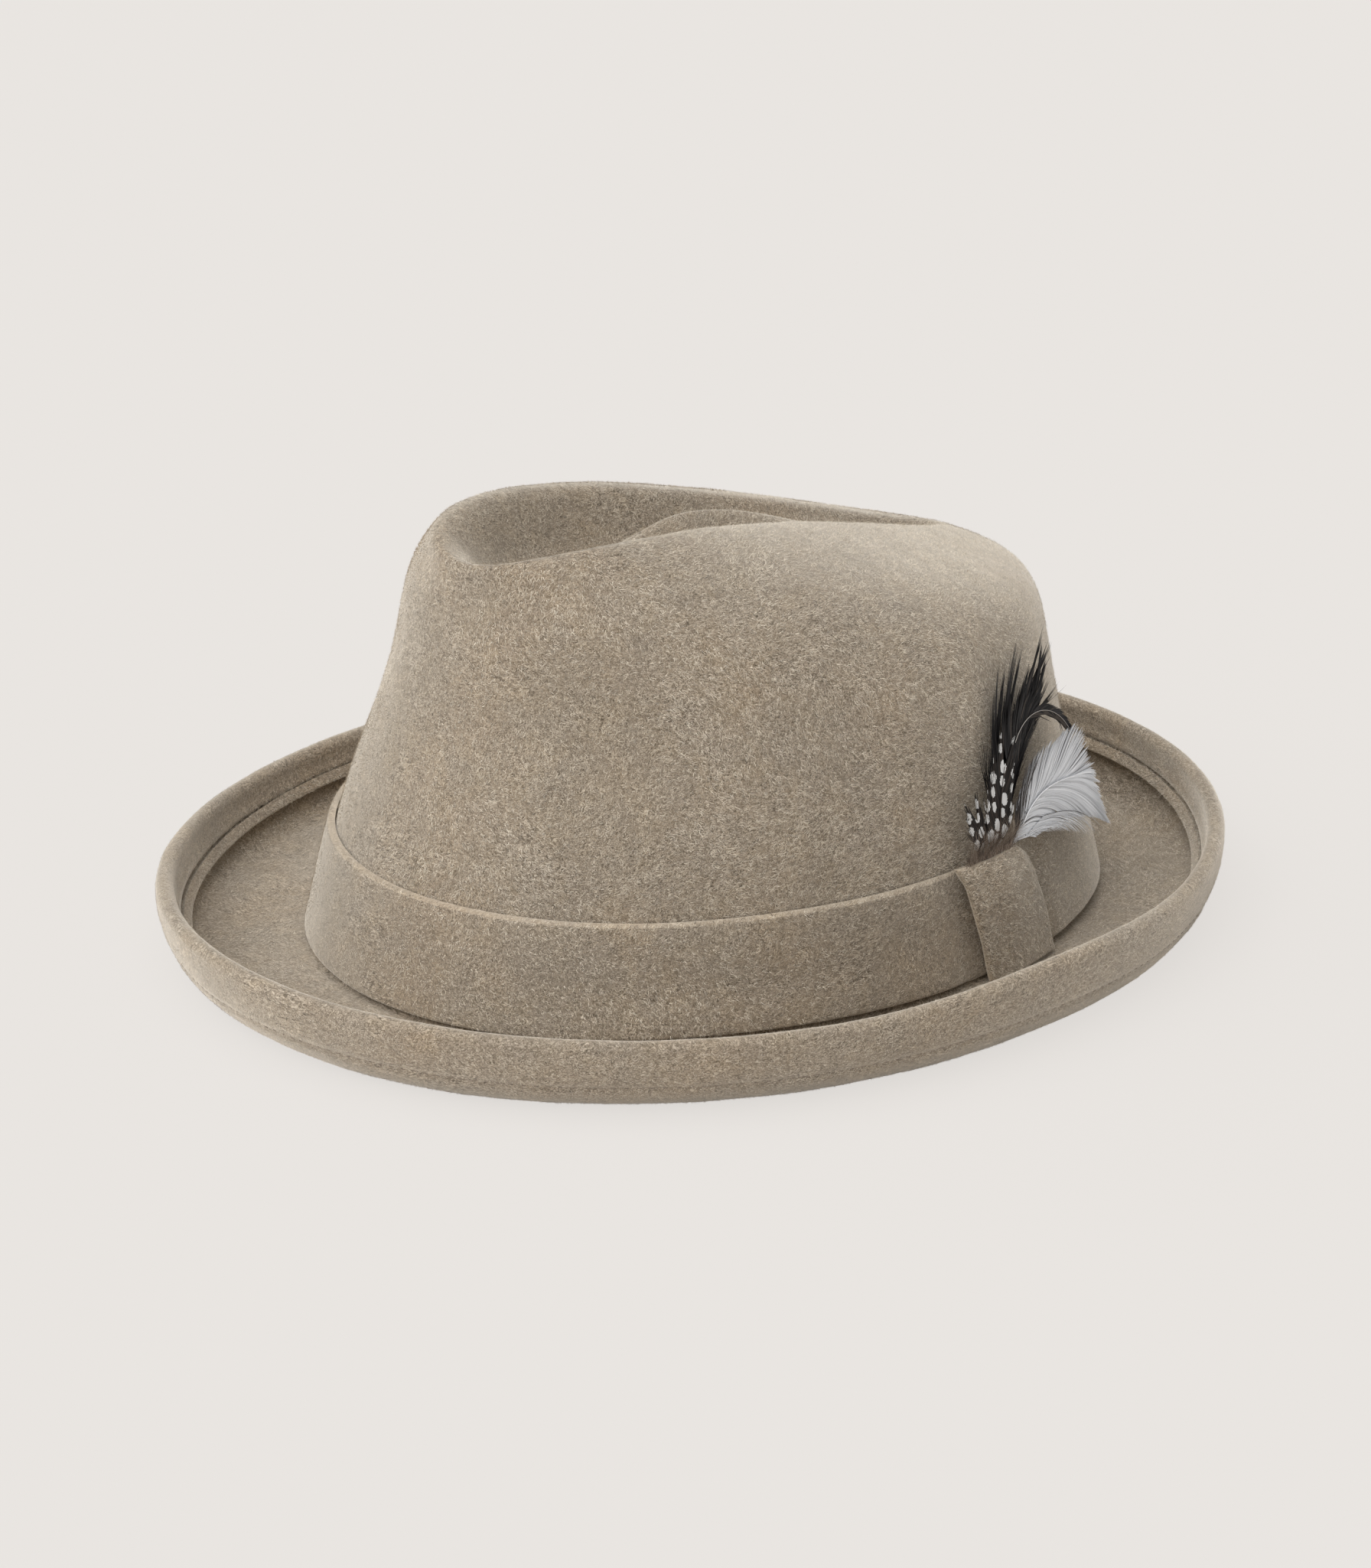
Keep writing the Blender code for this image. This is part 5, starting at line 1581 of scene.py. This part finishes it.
def build_world():
    """Even white light; the camera sees the backdrop colour instead."""
    world = bpy.data.worlds.new("studio")
    bpy.context.scene.world = world
    world.use_nodes = True
    tree = world.node_tree
    light = tree.nodes["Background"]
    light.inputs["Color"].default_value = (1.0, 1.0, 1.0, 1)
    light.inputs["Strength"].default_value = WORLD_LIGHT
    seen = tree.nodes.new("ShaderNodeBackground")
    seen.inputs["Color"].default_value = BACKDROP
    seen.inputs["Strength"].default_value = 1.0
    ray = tree.nodes.new("ShaderNodeLightPath")
    pick = tree.nodes.new("ShaderNodeMixShader")
    sources = (ray.outputs["Is Camera Ray"], light.outputs[0], seen.outputs[0])
    for socket, source in zip(pick.inputs, sources):
        tree.links.new(source, socket)
    tree.links.new(pick.outputs[0], tree.nodes["World Output"].inputs["Surface"])


build_floor()
bpy.context.scene.view_settings.view_transform = "Standard"
build_world()

# ------------------------------------------------------------------ lamps and camera
VIEW_TURN, VIEW_RISE = math.radians(46.95), math.radians(21.75)
VIEW_DISTANCE = 1.2
# from the hat towards the camera, and the picture's right and up
BACK = Vector((math.sin(VIEW_TURN) * math.cos(VIEW_RISE),
               -math.cos(VIEW_TURN) * math.cos(VIEW_RISE), math.sin(VIEW_RISE)))
RIGHT = Vector((math.cos(VIEW_TURN), math.sin(VIEW_TURN), 0))
UP = BACK.cross(RIGHT)
CENTRE = Vector([float(value) for value in SHIFT * MM])
LAMP_SPREAD = math.radians(50.0)
# soft suns: name, where they stand (right, towards the camera, high), power
LAMPS = (
    ("key_front_left", -0.5, 1.0, 1.0, 1.30),
    ("side_left", -1.0, 0.1, 0.9, 1.15),
    ("top", 0.0, 0.0, 1.0, 0.92),
    ("behind_left", -1.0, -0.8, 1.0, 0.40),
)


def add_lamps():
    level_back = Vector((BACK.x, BACK.y, 0)).normalized()
    for name, right, toward, high, power in LAMPS:
        data = bpy.data.lights.new(name, "SUN")
        data.angle = LAMP_SPREAD
        data.energy = power
        obj = bpy.data.objects.new(name, data)
        direction = RIGHT * right + level_back * toward + Vector((0, 0, high))
        obj.rotation_euler = direction.to_track_quat("Z", "Y").to_euler()
        bpy.context.scene.collection.objects.link(obj)


def add_camera():
    camera = bpy.data.cameras.new("camera")
    camera.sensor_width = 36.0
    camera.lens = 110.688141
    camera.shift_x, camera.shift_y = -0.013469985, 0.07022938
    camera.clip_start, camera.clip_end = 0.05, 30.0
    obj = bpy.data.objects.new("camera", camera)
    place = [centre + back * VIEW_DISTANCE for centre, back in zip(CENTRE, BACK)]
    obj.matrix_world = Matrix((*zip(RIGHT, UP, BACK, place), (0, 0, 0, 1)))
    bpy.context.scene.collection.objects.link(obj)
    bpy.context.scene.camera = obj


add_lamps()
add_camera()
